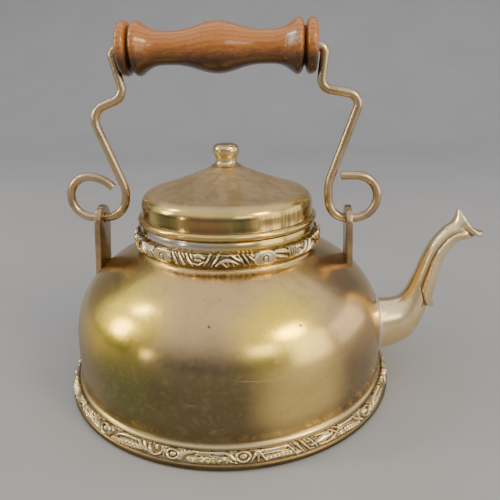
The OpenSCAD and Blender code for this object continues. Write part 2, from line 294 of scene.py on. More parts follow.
class Maker:
    """Adds nodes to a tree: the type, its settings first, then the values or links of its sockets."""

    def __init__(self, tree):
        self.tree = tree

    def node(self, kind, settings=None, sockets=None, output=0):
        made = self.tree.nodes.new(kind)
        for name, value in (settings or {}).items():
            setattr(made, name, value)
        for key, value in (sockets or {}).items():
            if isinstance(value, Signal):
                self.tree.links.new(value.socket, made.inputs[key])
            else:
                made.inputs[key].default_value = value
        return Signal(self, made.outputs[output]) if len(made.outputs) else made


class Finish(Maker):
    """A surface finish. Patterns lie on the piece's own coordinates, counted in millimetres."""

    def __init__(self, name):
        self.material = bpy.data.materials.new(name)
        self.material.use_nodes = True
        super().__init__(self.material.node_tree)
        self.tree.nodes.clear()
        coordinates = self.node("ShaderNodeTexCoord", output=3)
        self.place = self.node("ShaderNodeMapping", {"vector_type": "POINT"},
                               {0: coordinates, "Scale": (1 / MM,) * 3})
        split = self.node("ShaderNodeSeparateXYZ", None, {0: self.place}).socket.node
        self.x, self.y, self.z = (Signal(self, s) for s in split.outputs)
        self.radius = (self.x * self.x + self.y * self.y) ** 0.5

    def turned(self, place, angles, scale=(1, 1, 1)):
        """A place turned by angles in degrees and then stretched."""
        return self.node("ShaderNodeMapping", {"vector_type": "POINT"}, {
            0: place, "Rotation": [math.radians(a) for a in angles], "Scale": scale})

    def cloud(self, size, detail=3.0, rough=0.55, place=None, warp=0.0, seed=0.0):
        """Soft random patches of about a size in millimetres, from 0 to 1 about a half."""
        return self.node("ShaderNodeTexNoise", {"noise_dimensions": "4D"}, {
            "Vector": place or self.place, "W": seed, "Scale": 1 / size, "Detail": detail,
            "Roughness": rough, "Distortion": warp})

    def lathe_lines(self, pitch, seed=0.0):
        """Fine lines that run round the axis, as spinning and polishing leave them."""
        place = self.node("ShaderNodeCombineXYZ", None, {
            0: self.x / self.radius * 1.5, 1: self.y / self.radius * 1.5,
            2: (self.z - self.radius) / pitch})
        return self.cloud(1, 3, 0.6, place, seed=seed)

    def scratches(self, angles, width, seed):
        """Thin stray lines along one direction; 1 on a line, 0 beside it."""
        place = self.turned(self.place, angles, (0.012, 0.16, 0.16))
        return (self.cloud(1, 2, 0.5, place, seed=seed) - 0.5).size().rise(width, 0)

    def pits(self, spacing, size, seed=0.0):
        """Small round marks at random places; 1 in a mark."""
        far = self.node("ShaderNodeTexVoronoi", {"voronoi_dimensions": "4D"}, {
            "Vector": self.place, "W": seed, "Scale": 1 / spacing})
        return far.rise(size / spacing, 0.3 * size / spacing)

    def spot(self, place, reach, ragged):
        """1 near a place in millimetres and 0 beyond its reach; ragged shifts the edge."""
        far = self.node("ShaderNodeVectorMath", {"operation": "DISTANCE"}, {
            0: self.place, 1: place}, output=1)
        return (far + ragged).rise(reach, 0.3 * reach)

    def mix(self, share, first, second):
        """The first colour where share is 0 and the second where it is 1."""
        return self.node("ShaderNodeMix", {"data_type": "RGBA"}, {
            0: share, 6: tinted(first), 7: tinted(second)}, output=2)

    def bump(self, height, depth, under=None):
        """Relief of a depth in millimetres; under is a normal that it goes on top of."""
        sockets = {"Height": height, "Distance": depth * MM, "Strength": 1.0}
        if under:
            sockets["Normal"] = under
        return self.node("ShaderNodeBump", None, sockets)

    def done(self, colour, rough, normal, metal=1.0, **fixed):
        """Closes the finish; fixed holds the shader's sockets that are the same all over."""
        sockets = {"Base Color": tinted(colour), "Roughness": rough, "Metallic": metal,
                   "Normal": normal}
        sockets.update({name.replace("_", " "): value for name, value in fixed.items()})
        shader = self.node("ShaderNodeBsdfPrincipled", None, sockets)
        self.node("ShaderNodeOutputMaterial", None, {0: shader})
        return self.material


def tinted(colour):
    """A plain colour as four numbers; a signal stays as it is."""
    return colour if isinstance(colour, Signal) else (*colour, 1.0)


# Colours of the metals and the wood, as light sent back in red, green and blue
GOLD = (0.70, 0.49, 0.17)
YELLOW = (0.88, 0.64, 0.09)
PALE_GOLD = (0.80, 0.63, 0.34)
OLIVE = (0.38, 0.33, 0.11)
ROSE = (0.62, 0.41, 0.21)
COPPER = (0.50, 0.27, 0.12)
UMBER = (0.13, 0.085, 0.04)
SOOT = (0.03, 0.022, 0.014)
LILAC = (0.62, 0.55, 0.52)

# Marks on the body: place and reach in millimetres, strength and colour. The light marks are painted
# reflections and highlights, the dark marks painted dark reflections, the golden patch a painted
# reflection; the small dents are real dents.
PAINTED_REFLECTION_MARKS = (
    ((8.0, -74.0, 70.0), 46, 0.7, ROSE),
    ((-50.0, -68.0, 62.0), 38, 1.0, YELLOW),
    ((35.0, -77.0, 61.0), 34, 1.0, YELLOW),
    ((66.0, -58.0, 56.0), 36, 0.6, ROSE),
)
# Painted dark reflections: olive and brown patches low on the front
PAINTED_DARK_REFLECTIONS = (
    ((-42.0, -83.0, 34.0), 40, 0.75, (0.16, 0.165, 0.055)),
    ((-3.0, -93.0, 34.0), 42, 0.75, (0.17, 0.13, 0.07)),
    ((72.0, -60.0, 24.0), 32, 0.6, (0.22, 0.16, 0.10)),
)
PAINTED_GOLDEN_REFLECTION = (45.5, -81.5, 29.0)
SMALL_DENTS = ((-1.9, -80.3, 67.8), (41.9, -71.5, 65.0))

# Painted dark reflections on the lid's side, as streaky marks: place, reach, how ragged, strength and
# colour
LID_PAINTED_REFLECTIONS = (
    ((-6, -50, 110), 17, 26, 0.9, (0.38, 0.20, 0.08)),
    ((-28, -42, 109), 12, 20, 0.8, (0.12, 0.12, 0.04)),
    ((12, -49, 109), 8, 12, 0.8, (0.16, 0.15, 0.05)),
)


def spun_brass():
    """Aged sheet brass of the body: golden, rosy and olive patches and wear, with painted light:
    reflections and highlights, a darker lower half, a pale cove and shade at its foot.
    """
    f = Finish("aged_spun_brass")
    broad = f.cloud(52, 2, seed=3)
    patch = f.cloud(19, 4, 0.6, warp=0.6, seed=1)
    smudge = f.cloud(8, 5, 0.65, warp=1.2, seed=7)
    fine = f.cloud(1.7, 4, 0.7, seed=2)
    lines = f.lathe_lines(0.7)
    ragged = (patch - 0.5) * 22 + (smudge - 0.5) * 8
    stray = f.scratches((20, 35, 10), 0.006, 4).most(f.scratches((60, 5, 80), 0.004, 9))
    crease = f.z.rise(24, 16.5) * f.radius.rise(96.6, 94.2)
    # Painted dark reflection: the lower half of the wall is darkened, less on the right
    painted_dark_lower = (f.z + (broad - 0.5) * 30).rise(57, 31) * (1.0 - f.x.rise(20, 62) * 0.55)
    hue = f.cloud(4.5, 3, 0.6, seed=13)
    tone = f.mix(broad.rise(0.38, 0.62), GOLD, ROSE)
    tone = f.mix(patch.rise(0.5, 0.72) * 0.5, tone, OLIVE)
    # Painted reflections and highlights: rosy and yellow patches on the front of the wall
    for place, reach, strength, colour in PAINTED_REFLECTION_MARKS:
        tone = f.mix(f.spot(place, reach, ragged) * strength, tone, colour)
    # Painted dark reflection over the lower half
    tone = f.mix(painted_dark_lower * (0.45 + patch * 0.45), tone, (0.20, 0.155, 0.075))
    # Painted dark reflections low on the front of the wall
    for place, reach, strength, colour in PAINTED_DARK_REFLECTIONS:
        tone = f.mix(f.spot(place, reach, ragged) * strength, tone, colour)
    # Painted reflection: a soft golden patch low on the front right
    golden = f.spot(PAINTED_GOLDEN_REFLECTION, 34, (broad - 0.5) * 14 + (smudge - 0.5) * 4)
    tone = f.mix(golden * 0.9, tone, (0.92, 0.67, 0.25))
    tone = f.mix(hue.rise(0.5, 0.68) * 0.18, tone, ROSE)
    tone = f.mix(hue.rise(0.48, 0.34) * 0.18, tone, OLIVE)
    tone = f.mix(smudge.rise(0.58, 0.76) * 0.3, tone, UMBER)
    tone = f.mix(crease * (patch * 0.6), tone, UMBER)
    marks = f.pits(13, 0.7, 5)
    for dent in SMALL_DENTS:
        marks = marks.most(f.spot(dent, 1.1, 0.0))
    tone = f.mix(marks * 0.75, tone, SOOT)
    arc = (f.z - 44 - (f.x - 38) * (f.x - 38) * 0.0022).size().rise(0.28, 0.1)
    arc = arc * f.x.rise(8, 18) * f.x.rise(72, 62) * f.y.rise(0, -20)
    stray = stray * f.cloud(9, 2, seed=17).rise(0.52, 0.62)
    tone = f.mix((stray * 0.18).most(arc * 0.6), tone, PALE_GOLD)
    # Painted highlight: a pale golden band along the cove above the foot strip
    tone = f.mix(f.radius.rise(93.6, 95.6) * f.z.rise(22, 15) * 0.85, tone, (0.88, 0.66, 0.32))
    # Painted shade: the wall darkened where it meets the foot strip
    tone = f.mix(f.z.rise(FLANGE_H + 1.0, FLANGE_H + 0.45) * 0.75, tone, SOOT)
    rough = 0.09 + broad * 0.06 + smudge * 0.12 + fine * 0.06 + lines * 0.03 + painted_dark_lower * 0.09
    relief = f.bump(f.cloud(14, 2, seed=11), 0.16)
    relief = f.bump(lines, 0.006, relief)
    relief = f.bump(fine - stray * 0.6 - marks, 0.02, relief)
    return f.done(tone, rough, relief)


def red_rim():
    """Reddish brass of the kettle's bottom and its rolled rim, kept dark as a painted dark reflection,
    with painted shade underneath and a painted highlight along the top of the roll.
    """
    f = Finish("reddish_rim_brass")
    patch = f.cloud(24, 4, 0.6, seed=2)
    fine = f.cloud(1.5, 4, 0.7, seed=4)
    # Painted dark reflection: the rim's brass is coloured dark all over
    tone = f.mix(patch.rise(0.36, 0.66), (0.15, 0.11, 0.046), (0.09, 0.066, 0.03))
    tone = f.mix(f.cloud(6, 4, 0.6, warp=1, seed=8).rise(0.56, 0.74) * 0.7, tone, UMBER)
    # Painted shade: darkest underneath
    tone = f.mix(f.z.rise(1.6, 0.3) * 0.8, tone, UMBER)
    # Painted highlight: a rosy band along the top of the roll
    tone = f.mix((f.z + (patch - 0.5) * 2).rise(2.8, 3.7) * 0.4, tone, ROSE)
    stray = f.scratches((0, 0, 40), 0.01, 6)
    rough = 0.24 + patch * 0.12 + fine * 0.12 + f.z.rise(0.9, 0.1) * 0.3
    return f.done(tone, rough, f.bump(fine - stray, 0.02))


def pale_ornament():
    """Stamped strips: old gold, silvery where the tops are worn and catch a painted highlight, with
    painted shade on the low ground and in the crevices.
    """
    f = Finish("worn_pale_relief")
    height = f.node("ShaderNodeAttribute", {"attribute_name": "relief"}, output=2)
    crevice_shade = f.node("ShaderNodeAttribute", {"attribute_name": "crevice_shade"}, output=2)
    patch = f.cloud(13, 3, seed=6)
    fine = f.cloud(0.8, 4, 0.7, seed=1)
    gold = f.mix(patch.rise(0.38, 0.64), (0.84, 0.66, 0.34), (0.64, 0.51, 0.25))
    ground = f.mix(f.cloud(5, 3, seed=9).rise(0.4, 0.65), (0.44, 0.34, 0.18), (0.24, 0.18, 0.095))
    # Painted shade: the low ground between the raised forms stays darker than the gold
    tone = f.mix((height + (fine - 0.5) * 0.2).rise(0.05, 0.4), ground, gold)
    # Painted highlight: near white on the highest tops, together with their wear
    worn = (height + (f.cloud(3.4, 3, seed=3) - 0.5) * 1.1 + (fine - 0.5) * 0.4).rise(0.8, 1.12)
    tone = f.mix(worn * 0.85, tone, (0.93, 0.87, 0.81))
    # Painted shade: near black in the crevices
    tone = f.mix((crevice_shade + (fine - 0.5) * 0.2).rise(0.22, 0.85) * 0.9, tone, (0.06, 0.042, 0.03))
    rough = 0.2 - height * 0.05 + fine * 0.1 + crevice_shade * 0.3
    return f.done(tone, rough, f.bump(fine + f.cloud(2.2, 3, seed=4), 0.05))


def lid_brass():
    """Lid, knob and neck: a polished side with painted streaks of dark reflection, and a brown dusty
    dome with fine scuffs; a painted highlight and a painted shadow line on the neck ring.
    """
    f = Finish("lid_brass_dusty_dome")
    broad = f.cloud(30, 3, warp=0.5, seed=5)
    patch = f.cloud(8, 4, 0.62, warp=0.8, seed=3)
    fine = f.cloud(0.9, 4, 0.75, seed=9)
    lines = f.lathe_lines(0.45, 2)
    around = f.turned(f.place, (0, 0, 0), (0.16, 0.16, 0.02))
    painted_reflection_streak = f.cloud(1, 3, 0.6, around, seed=14)
    painted_reflection_hairlines = f.cloud(1, 2, 0.5, f.turned(f.place, (0, 0, 0), (0.9, 0.9, 0.05)), seed=15)
    stray = f.scratches((0, 90, 30), 0.012, 2).most(f.scratches((0, 90, 105), 0.009, 8))
    dome = f.z.rise(LID_SIDE_H + 5.2, LID_SIDE_H + 8.4) * f.z.rise(LID_SEAT_H + 1.5, LID_SEAT_H - 2)
    side = f.z.rise(LID_SIDE_H + 4.6, LID_SIDE_H + 2.4) * f.z.rise(MOUTH_H + 3.4, MOUTH_H + 4.6)
    grit = f.cloud(0.55, 3, 0.7, seed=19)
    dust = dome * (0.45 + broad * 0.7 + (fine - 0.5) * 0.9).rise(0.3, 0.95)
    tone = f.mix(broad.rise(0.4, 0.62), GOLD, (0.56, 0.43, 0.15))
    tone = f.mix(patch.rise(0.56, 0.74) * 0.4, tone, COPPER)
    # Painted dark reflections: vertical streaks round the side
    tone = f.mix(side * painted_reflection_streak.rise(0.45, 0.6) * 0.8, tone, (0.30, 0.20, 0.08))
    # Painted dark reflections at listed places on the side
    for place, reach, ragged, strength, colour in LID_PAINTED_REFLECTIONS:
        mark = f.spot(place, reach, (painted_reflection_streak - 0.5) * ragged)
        tone = f.mix(side * mark * strength, tone, colour)
    # Painted dark reflections: fine vertical lines on the right of the side
    tone = f.mix(side * painted_reflection_hairlines.rise(0.55, 0.66) * f.x.rise(5, 30) * 0.5, tone, UMBER)
    tone = f.mix(dust * 0.85, tone, f.mix(patch.rise(0.4, 0.65), (0.70, 0.50, 0.32), (0.52, 0.37, 0.19)))
    tone = f.mix(dome * grit.rise(0.56, 0.68) * 0.3, tone, LILAC)
    tone = f.mix(dome * grit.rise(0.44, 0.34) * 0.35, tone, UMBER)
    tone = f.mix(stray * dome * 0.25, tone, LILAC)
    # Painted highlight: pale lilac on the left of the neck ring, just under the lid's bead
    under = f.z.rise(MOUTH_H + 0.2, MOUTH_H - 0.8) * f.radius.rise(49, 50)
    tone = f.mix(under * f.x.rise(14, -24) * (0.5 + patch * 0.6), tone, (0.60, 0.56, 0.54))
    # Painted shadow: a dark line between the neck ring and the lid's bead
    gap = f.z.rise(MOUTH_H - 0.8, MOUTH_H - 0.3) * f.z.rise(MOUTH_H + 0.9, MOUTH_H + 0.3)
    tone = f.mix(gap * 0.9, tone, SOOT)
    tone = f.mix(f.radius.rise(9, 8) * f.z.rise(LID_SEAT_H, LID_SEAT_H + 1) * 0.6, tone, PALE_GOLD)
    tone = f.mix(f.z.rise(KNOB_TOP - 0.7, KNOB_TOP - 0.2) * 0.8, tone, (0.30, 0.18, 0.09))
    rough = 0.12 + gap * 0.3 + dust * 0.36 + patch * 0.05 + fine * 0.04 + lines * 0.03
    relief = f.bump(broad + f.cloud(16, 2, seed=12), 0.12)
    relief = f.bump(lines + fine * dome * 2 - stray * dome * 0.5, 0.014, relief)
    return f.done(tone, rough, relief)


def cast_brass():
    """Satin cast brass of the spout, with pores, painted shade in its grooves, under its lip and inside,
    and pale at its seam.
    """
    f = Finish("satin_cast_brass")
    groove_shade = f.node("ShaderNodeAttribute", {"attribute_name": "crevice_shade"}, output=2)
    seam = f.node("ShaderNodeAttribute", {"attribute_name": "seam"}, output=2)
    patch = f.cloud(13, 4, 0.6, warp=0.5, seed=4)
    fine = f.cloud(1.0, 4, 0.7, seed=6)
    tone = f.mix(patch.rise(0.36, 0.66), (0.97, 0.77, 0.48), (0.86, 0.65, 0.33))
    tone = f.mix(f.cloud(5, 4, 0.6, seed=2).rise(0.6, 0.76) * 0.4, tone, COPPER)
    # Painted shade: darker in the grooves, under the lip's bead and inside
    tone = f.mix((groove_shade + (fine - 0.5) * 0.3).rise(0.12, 0.8) * 0.9, tone, (0.24, 0.115, 0.04))
    tone = f.mix(f.pits(4.5, 0.5, 3) * 0.7, tone, UMBER)
    tone = f.mix(seam * (0.6 + patch * 0.6), tone, (0.82, 0.72, 0.70))
    rough = 0.16 + patch * 0.1 + fine * 0.08 + groove_shade * 0.2 + seam * 0.12
    relief = f.bump(f.cloud(5, 3, seed=10), 0.14)
    return f.done(tone, rough, f.bump(fine - f.pits(4.5, 0.5, 3), 0.035, relief))


def drawn_brass(name, light, dark, seed):
    """Dull drawn or cut brass, for the rod, the ears and the pieces inside the lid."""
    f = Finish(name)
    patch = f.cloud(15, 4, 0.6, seed=seed)
    fine = f.cloud(1.1, 4, 0.72, seed=seed + 1)
    tone = f.mix(patch.rise(0.36, 0.66), light, dark)
    tone = f.mix(f.cloud(3.6, 4, 0.65, seed=seed + 2).rise(0.58, 0.74) * 0.55, tone, UMBER)
    rough = 0.17 + patch * 0.08 + fine * 0.1
    return f.done(tone, rough, f.bump(fine + f.cloud(4, 3, seed=seed + 3), 0.04))


def turned_wood():
    """Reddish-brown stained hardwood under a worn varnish, grain along the grip, with painted shade on
    its underside and in its grooves.
    """
    f = Finish("varnished_turned_wood")
    x, y, z = f.x - GRIP_X, f.y, f.z - GRIP_H
    wave = f.cloud(34, 2, 0.5, f.turned(f.place, (0, 0, 0), (0.35, 1, 1)), seed=2)
    bore = ((y + 17) ** 2.0 + (z - x * 0.05 + 9) ** 2.0) ** 0.5
    rings = ((bore * 2.3 + wave * 11).sine() * 0.5 + 0.5) ** 1.6
    pore = f.cloud(1, 3, 0.6, f.turned(f.place, (0, 0, 0), (0.09, 2.6, 2.6)), seed=5)
    ray = f.cloud(1, 2, 0.5, f.turned(f.place, (0, 0, 0), (0.28, 1.1, 1.1)), seed=8)
    tone = f.mix(rings * 0.55, (0.50, 0.175, 0.028), (0.28, 0.085, 0.016))
    tone = f.mix(ray.rise(0.4, 0.7) * 0.5, tone, (0.50, 0.215, 0.045))
    tone = f.mix(pore.rise(0.56, 0.7) * 0.6, tone, (0.06, 0.018, 0.008))
    # Painted shade: near black on the underside of the grip
    tone = f.mix((z + (ray - 0.5) * 5).rise(3, -8) * 0.96, tone, (0.035, 0.011, 0.004))
    # Painted shade: near black in the grooves beside the end beads
    groove = (x.size() - (GRIP_LEN / 2 - 6.95)).size().rise(0.8, 0.3)
    tone = f.mix(groove * 0.85, tone, (0.03, 0.011, 0.005))
    bare = f.spot((GRIP_X + 40.5, -11.5, GRIP_H + 3.0), 5.5, 0.0)
    bare = bare * f.cloud(1.6, 3, 0.6, seed=4).rise(0.4, 0.56)
    tone = f.mix(bare * 0.9, tone, (0.50, 0.50, 0.50))
    rough = 0.32 + pore * 0.12 + bare * 0.2
    relief = f.bump(pore, 0.03)
    coat = 1.0 - f.cloud(7, 3, seed=9).rise(0.5, 0.75) * 0.3 - bare * 0.5
    return f.done(tone, rough, relief, metal=0.0, Coat_Weight=coat, Coat_Roughness=0.16,
                  Coat_IOR=1.5, Specular_IOR_Level=0.1)


# Body, foot pan, neck ring, lid and knob, all spun

COVE = (FOOT_R - 2.8, FLANGE_H + 3.9)
BODY_LINE = joined(
    arc(COVE, COVE_R, 247, 180, 16),
    bezier((COVE[0] - COVE_R, COVE[1]), (BODY_R, COVE[1] + 6), (BODY_R, SHOULDER_H - 5),
           (BODY_R - 0.4, SHOULDER_H), 16),
    bezier((BODY_R - 0.4, SHOULDER_H), (BODY_R - 0.8, NECK_H - 24), (NECK_R + 26.7, NECK_H - 11.9),
           (NECK_R + 4.8, NECK_H - 2.1), 64),
)


def body_radius(height):
    return np.interp(height, BODY_LINE[:, 1], BODY_LINE[:, 0])


def hand_worked(angle, height):
    """The slight unevenness of an old spun wall, in millimetres."""
    share = np.clip((height - 20) / 12, 0, 1) * np.clip((82 - height) / 14, 0, 1)
    wave = (np.sin(2 * angle + 0.7) * 0.10 + np.sin(3 * angle + height * 0.06) * 0.07
            + np.sin(5 * angle - height * 0.09 + 2) * 0.05)
    return share * (wave - 0.2)


def make_body(finish):
    outline = joined(
        [(SKIRT_R, STRIP_LOW)], BODY_LINE,
        [(NECK_R + 3.5, NECK_H - 0.9), (NECK_R + 3.4, NECK_H), (NECK_R, NECK_H),
         (NECK_R, NECK_H - WALL), (NECK_R + 2.6, NECK_H - WALL - 0.5)],
        inset(BODY_LINE, WALL)[::-1], [(SKIRT_R - 1.1 * WALL, STRIP_LOW)],
    )
    body = spun("body_spun", eased(outline, 0.35), shift=hand_worked)
    depth = 6
    drill = spun("drill", [(0, -depth), (SPOUT_HOLE_R, -depth), (SPOUT_HOLE_R, depth), (0, depth)], 96)
    drill.data.transform(Matrix.Translation(Vector((body_radius(SPOUT_ROOT_H), 0, SPOUT_ROOT_H)) * MM)
                         @ Matrix.Rotation(math.pi / 2, 4, "Y"))
    return settle(cut(body, drill), "kettle", "spun_brass", finish, "body_shell")


def make_foot_pan(finish):
    rim_r, pan_r, sheet_t = STRIP_LOW / 2, SKIRT_R - 2.2, 1.2
    outline = joined(
        [(0, 0)], arc((FOOT_R - rim_r, rim_r), rim_r, -90, 90, 16),
        [(pan_r, STRIP_LOW), (pan_r, sheet_t), (0, sheet_t)],
    )
    return settle(spun("foot_pan_rolled", eased(outline, 0.25)), "kettle", "red_rim", finish,
                  "base_pan")


def make_neck_ring(finish):
    top = MOUTH_H - 3.3
    outline = joined(
        [(NECK_R - WALL, NECK_H - WALL), (NECK_R, NECK_H - WALL), (NECK_R, NECK_H + 7.6)],
        bezier((NECK_R + 1.3, NECK_H + 7.8), (NECK_R + 1.9, NECK_H + 9.4), (NECK_R + 1.8, top + 0.6),
               (NECK_R + 1.0, MOUTH_H - 0.8), 18),
        arc((NECK_R + 0.2, MOUTH_H - 0.8), 0.8, 0, 90, 8),
        [(NECK_R - WALL, MOUTH_H)],
    )
    return settle(spun("neck_ring_polished", eased(outline, 0.25)), "kettle", "lid_brass", finish,
                  "mouth_ring")


def make_lid(finish):
    line = joined(
        [(LID_R, MOUTH_H + 4.3)],
        bezier((LID_R, LID_SIDE_H), (LID_R, LID_SIDE_H + 4), (LID_R - 1.7, LID_SIDE_H + 6.4),
               (LID_R - 5.2, LID_SIDE_H + 8.1), 18),
        bezier((LID_R - 5.2, LID_SIDE_H + 8.1), (LID_R - 13.1, LID_SIDE_H + 10.6),
               (18.5, LID_SEAT_H - 5.8), (8, LID_SEAT_H), 40),
    )
    bead = (LID_R + 0.3, MOUTH_H + BEAD_R - 0.15)
    flat = math.degrees(math.asin((MOUTH_H - bead[1]) / BEAD_R))
    stud_hole_r = 2.1
    outline = joined(
        [(LID_R - WALL, MOUTH_H)], arc(bead, BEAD_R, flat, 97, 28), line,
        [(stud_hole_r, LID_SEAT_H), (stud_hole_r, LID_SEAT_H - WALL)], inset(line, WALL)[::-1],
    )
    return settle(spun("lid_spun", outline), "lid", "lid_brass", finish, "lid_shell")


def make_knob(finish):
    seat, top, bun = LID_SEAT_H, KNOB_TOP, high("lid_knob")[0]
    wide, waist, stud_r, stud_len = 7.6, 6.2, 2, 5
    outline = joined(
        [(0, seat - stud_len), (stud_r, seat - stud_len), (stud_r, seat), (bun, seat)],
        bezier((bun, seat + 0.3), (7.2, seat + 0.6), (waist, seat + 1.4), (waist, seat + 2.8), 12),
        bezier((waist, seat + 4.4), (waist, seat + 5.4), (wide, seat + 5.6), (wide, seat + 8.4), 14),
        bezier((wide, seat + 8.4), (wide, top - 1.7), (6.6, top - 0.7), (4.9, top - 0.35), 16),
        bezier((4.8, top - 0.35), (3, top - 0.1), (1.5, top), (0, top), 8),
    )
    return settle(spun("knob_turned", outline, 128), "lid", "lid_brass", finish, "lid_knob")


# Relief strips: a sheet of heights over one motif, which is then bent round and repeated

CREVICE_DEPTH = 0.22


def smoothed(height, weight):
    """Each height averaged with those beside it; the two ends of a sheet are the same place."""
    body = height[:-1]
    body = (np.roll(body, 1, 0) + weight * body + np.roll(body, -1, 0)) / (2 + weight)
    padded = np.pad(body, ((0, 0), (1, 1)), mode="edge")
    body = (padded[:, :-2] + weight * padded[:, 1:-1] + padded[:, 2:]) / (2 + weight)
    return np.vstack([body, body[:1]])


class Sheet:
    """Heights over a strip that starts at an angle of the kettle. Places on it are given as
    (angle in degrees, height in millimetres)."""

    def __init__(self, radius, start, degrees, low_z, high_z, step):
        self.start = start
        self.per_degree = radius * math.pi / 180
        self.degrees = degrees
        self.columns = int(round(degrees * self.per_degree / step))
        self.rows = int(round((high_z - low_z) / step)) + 1
        s = np.arange(self.columns + 1) * degrees / self.columns * self.per_degree
        self.s, self.z = np.meshgrid(s, np.linspace(low_z, high_z, self.rows), indexing="ij")
        self.length = degrees * self.per_degree
        self.height = np.zeros_like(self.s)

    def across(self, middle):
        """How far each place lies from a place along the strip, the short way round."""
        s = self.s - middle
        return s - self.length * np.round(s / self.length)

    def from_place(self, place):
        """How far each place of the sheet lies along and up from a given place."""
        return self.across((place[0] - self.start) * self.per_degree), self.z - place[1]

    def path(self, points, count=22):
        """A smooth path through places."""
        points = (np.array(points, float) - (self.start, 0)) * (self.per_degree, 1)
        padded = np.vstack([2 * points[0] - points[1], points, 2 * points[-1] - points[-2]])
        made = []
        for t in np.linspace(0, len(points) - 1, count):
            i = min(int(t), len(points) - 2)
            p0, p1, p2, p3 = padded[i:i + 4]
            k = t - i
            made.append(0.5 * (2 * p1 + (p2 - p0) * k + (2 * p0 - 5 * p1 + 4 * p2 - p3) * k ** 2
                               + (3 * p1 - p0 - 3 * p2 + p3) * k ** 3))
        return np.array(made)

    def near(self, path, reach):
        """Where the sheet is within reach of a path: cells, distance and place along it."""
        middle = (path[:, 0].min() + path[:, 0].max()) / 2
        s = self.across(middle)
        cells = np.nonzero(np.abs(s) < np.ptp(path[:, 0]) / 2 + reach)
        spot = np.stack([s[cells] + middle, self.z[cells]], -1)[:, None]
        a, b = path[None, :-1], path[None, 1:]
        share = np.clip(((spot - a) * (b - a)).sum(-1) / ((b - a) ** 2).sum(-1), 0, 1)
        gap = spot - (a + share[..., None] * (b - a))
        far = np.hypot(gap[..., 0], gap[..., 1])
        best = far.argmin(1)
        pick = np.arange(len(best)), best
        return cells, far[pick], (best + share[pick]) / (len(path) - 1)

    def raise_to(self, cells, height):
        self.height[cells] = np.maximum(self.height[cells], height)

    def strand(self, points, widths, rise, flat=0.5):
        """A raised strand with a round section, as wide as its list of half widths says."""
        cells, far, along = self.near(self.path(points), max(widths))
        width = np.interp(along, np.linspace(0, 1, len(widths)), widths)
        self.raise_to(cells, rise * np.clip(1 - (far / width) ** 2, 0, 1) ** flat)

    def leaf(self, points, widths, rise, ribs, lean=0.8, notch=0.3):
        """A leaf along a vein: ribs fan out from it and notch its edge."""
        cells, far, along = self.near(self.path(points), max(widths))
        width = np.interp(along, np.linspace(0, 1, len(widths)), widths)
        beat = np.abs(np.sin(math.pi * (ribs * along + lean * far / width))) ** 0.8
        share = np.clip(1 - (far / (width * (1 - notch + notch * beat))) ** 2, 0, 1)
        vein = 1 - 0.4 * np.exp(-(far / 0.25) ** 2)
        self.raise_to(cells, rise * share ** 0.45 * (0.45 + 0.55 * beat) * vein)

    def ring(self, place, radius, width, rise, boss, boss_rise, dip=0.0):
        """A round boss inside a raised ring; dip sinks a dimple into the boss."""
        far = np.hypot(*self.from_place(place))
        self.height[far < radius] = 0
        ring = rise * np.clip(1 - ((far - radius) / width) ** 2, 0, 1) ** 0.5
        dome = boss_rise * np.clip(1 - (far / boss) ** 2, 0, 1) ** 0.5
        dome = dome - dip * np.clip(1 - (far / (0.45 * boss)) ** 2, 0, 1)
        self.height = np.maximum(self.height, np.maximum(ring, dome))

    def plate(self, place, half, rise, power=4.0):
        """A plain domed plate."""
        s, z = self.from_place(place)
        share = (np.abs(s) / half[0]) ** power + (np.abs(z) / half[1]) ** power
        self.height = np.maximum(self.height, rise * np.clip(1 - share, 0, 1) ** 0.4)

    def soften(self, times):
        """Rounds the relief, as on a worn stamping."""
        for _ in range(times):
            self.height = smoothed(self.height, 2)

    def crevices(self):
        """How far each place lies below what is round it, from 0 to 1."""
        blurred = self.height
        for _ in range(5):
            blurred = smoothed(blurred, 1)
        return np.clip((blurred - self.height) / CREVICE_DEPTH, 0, 1)


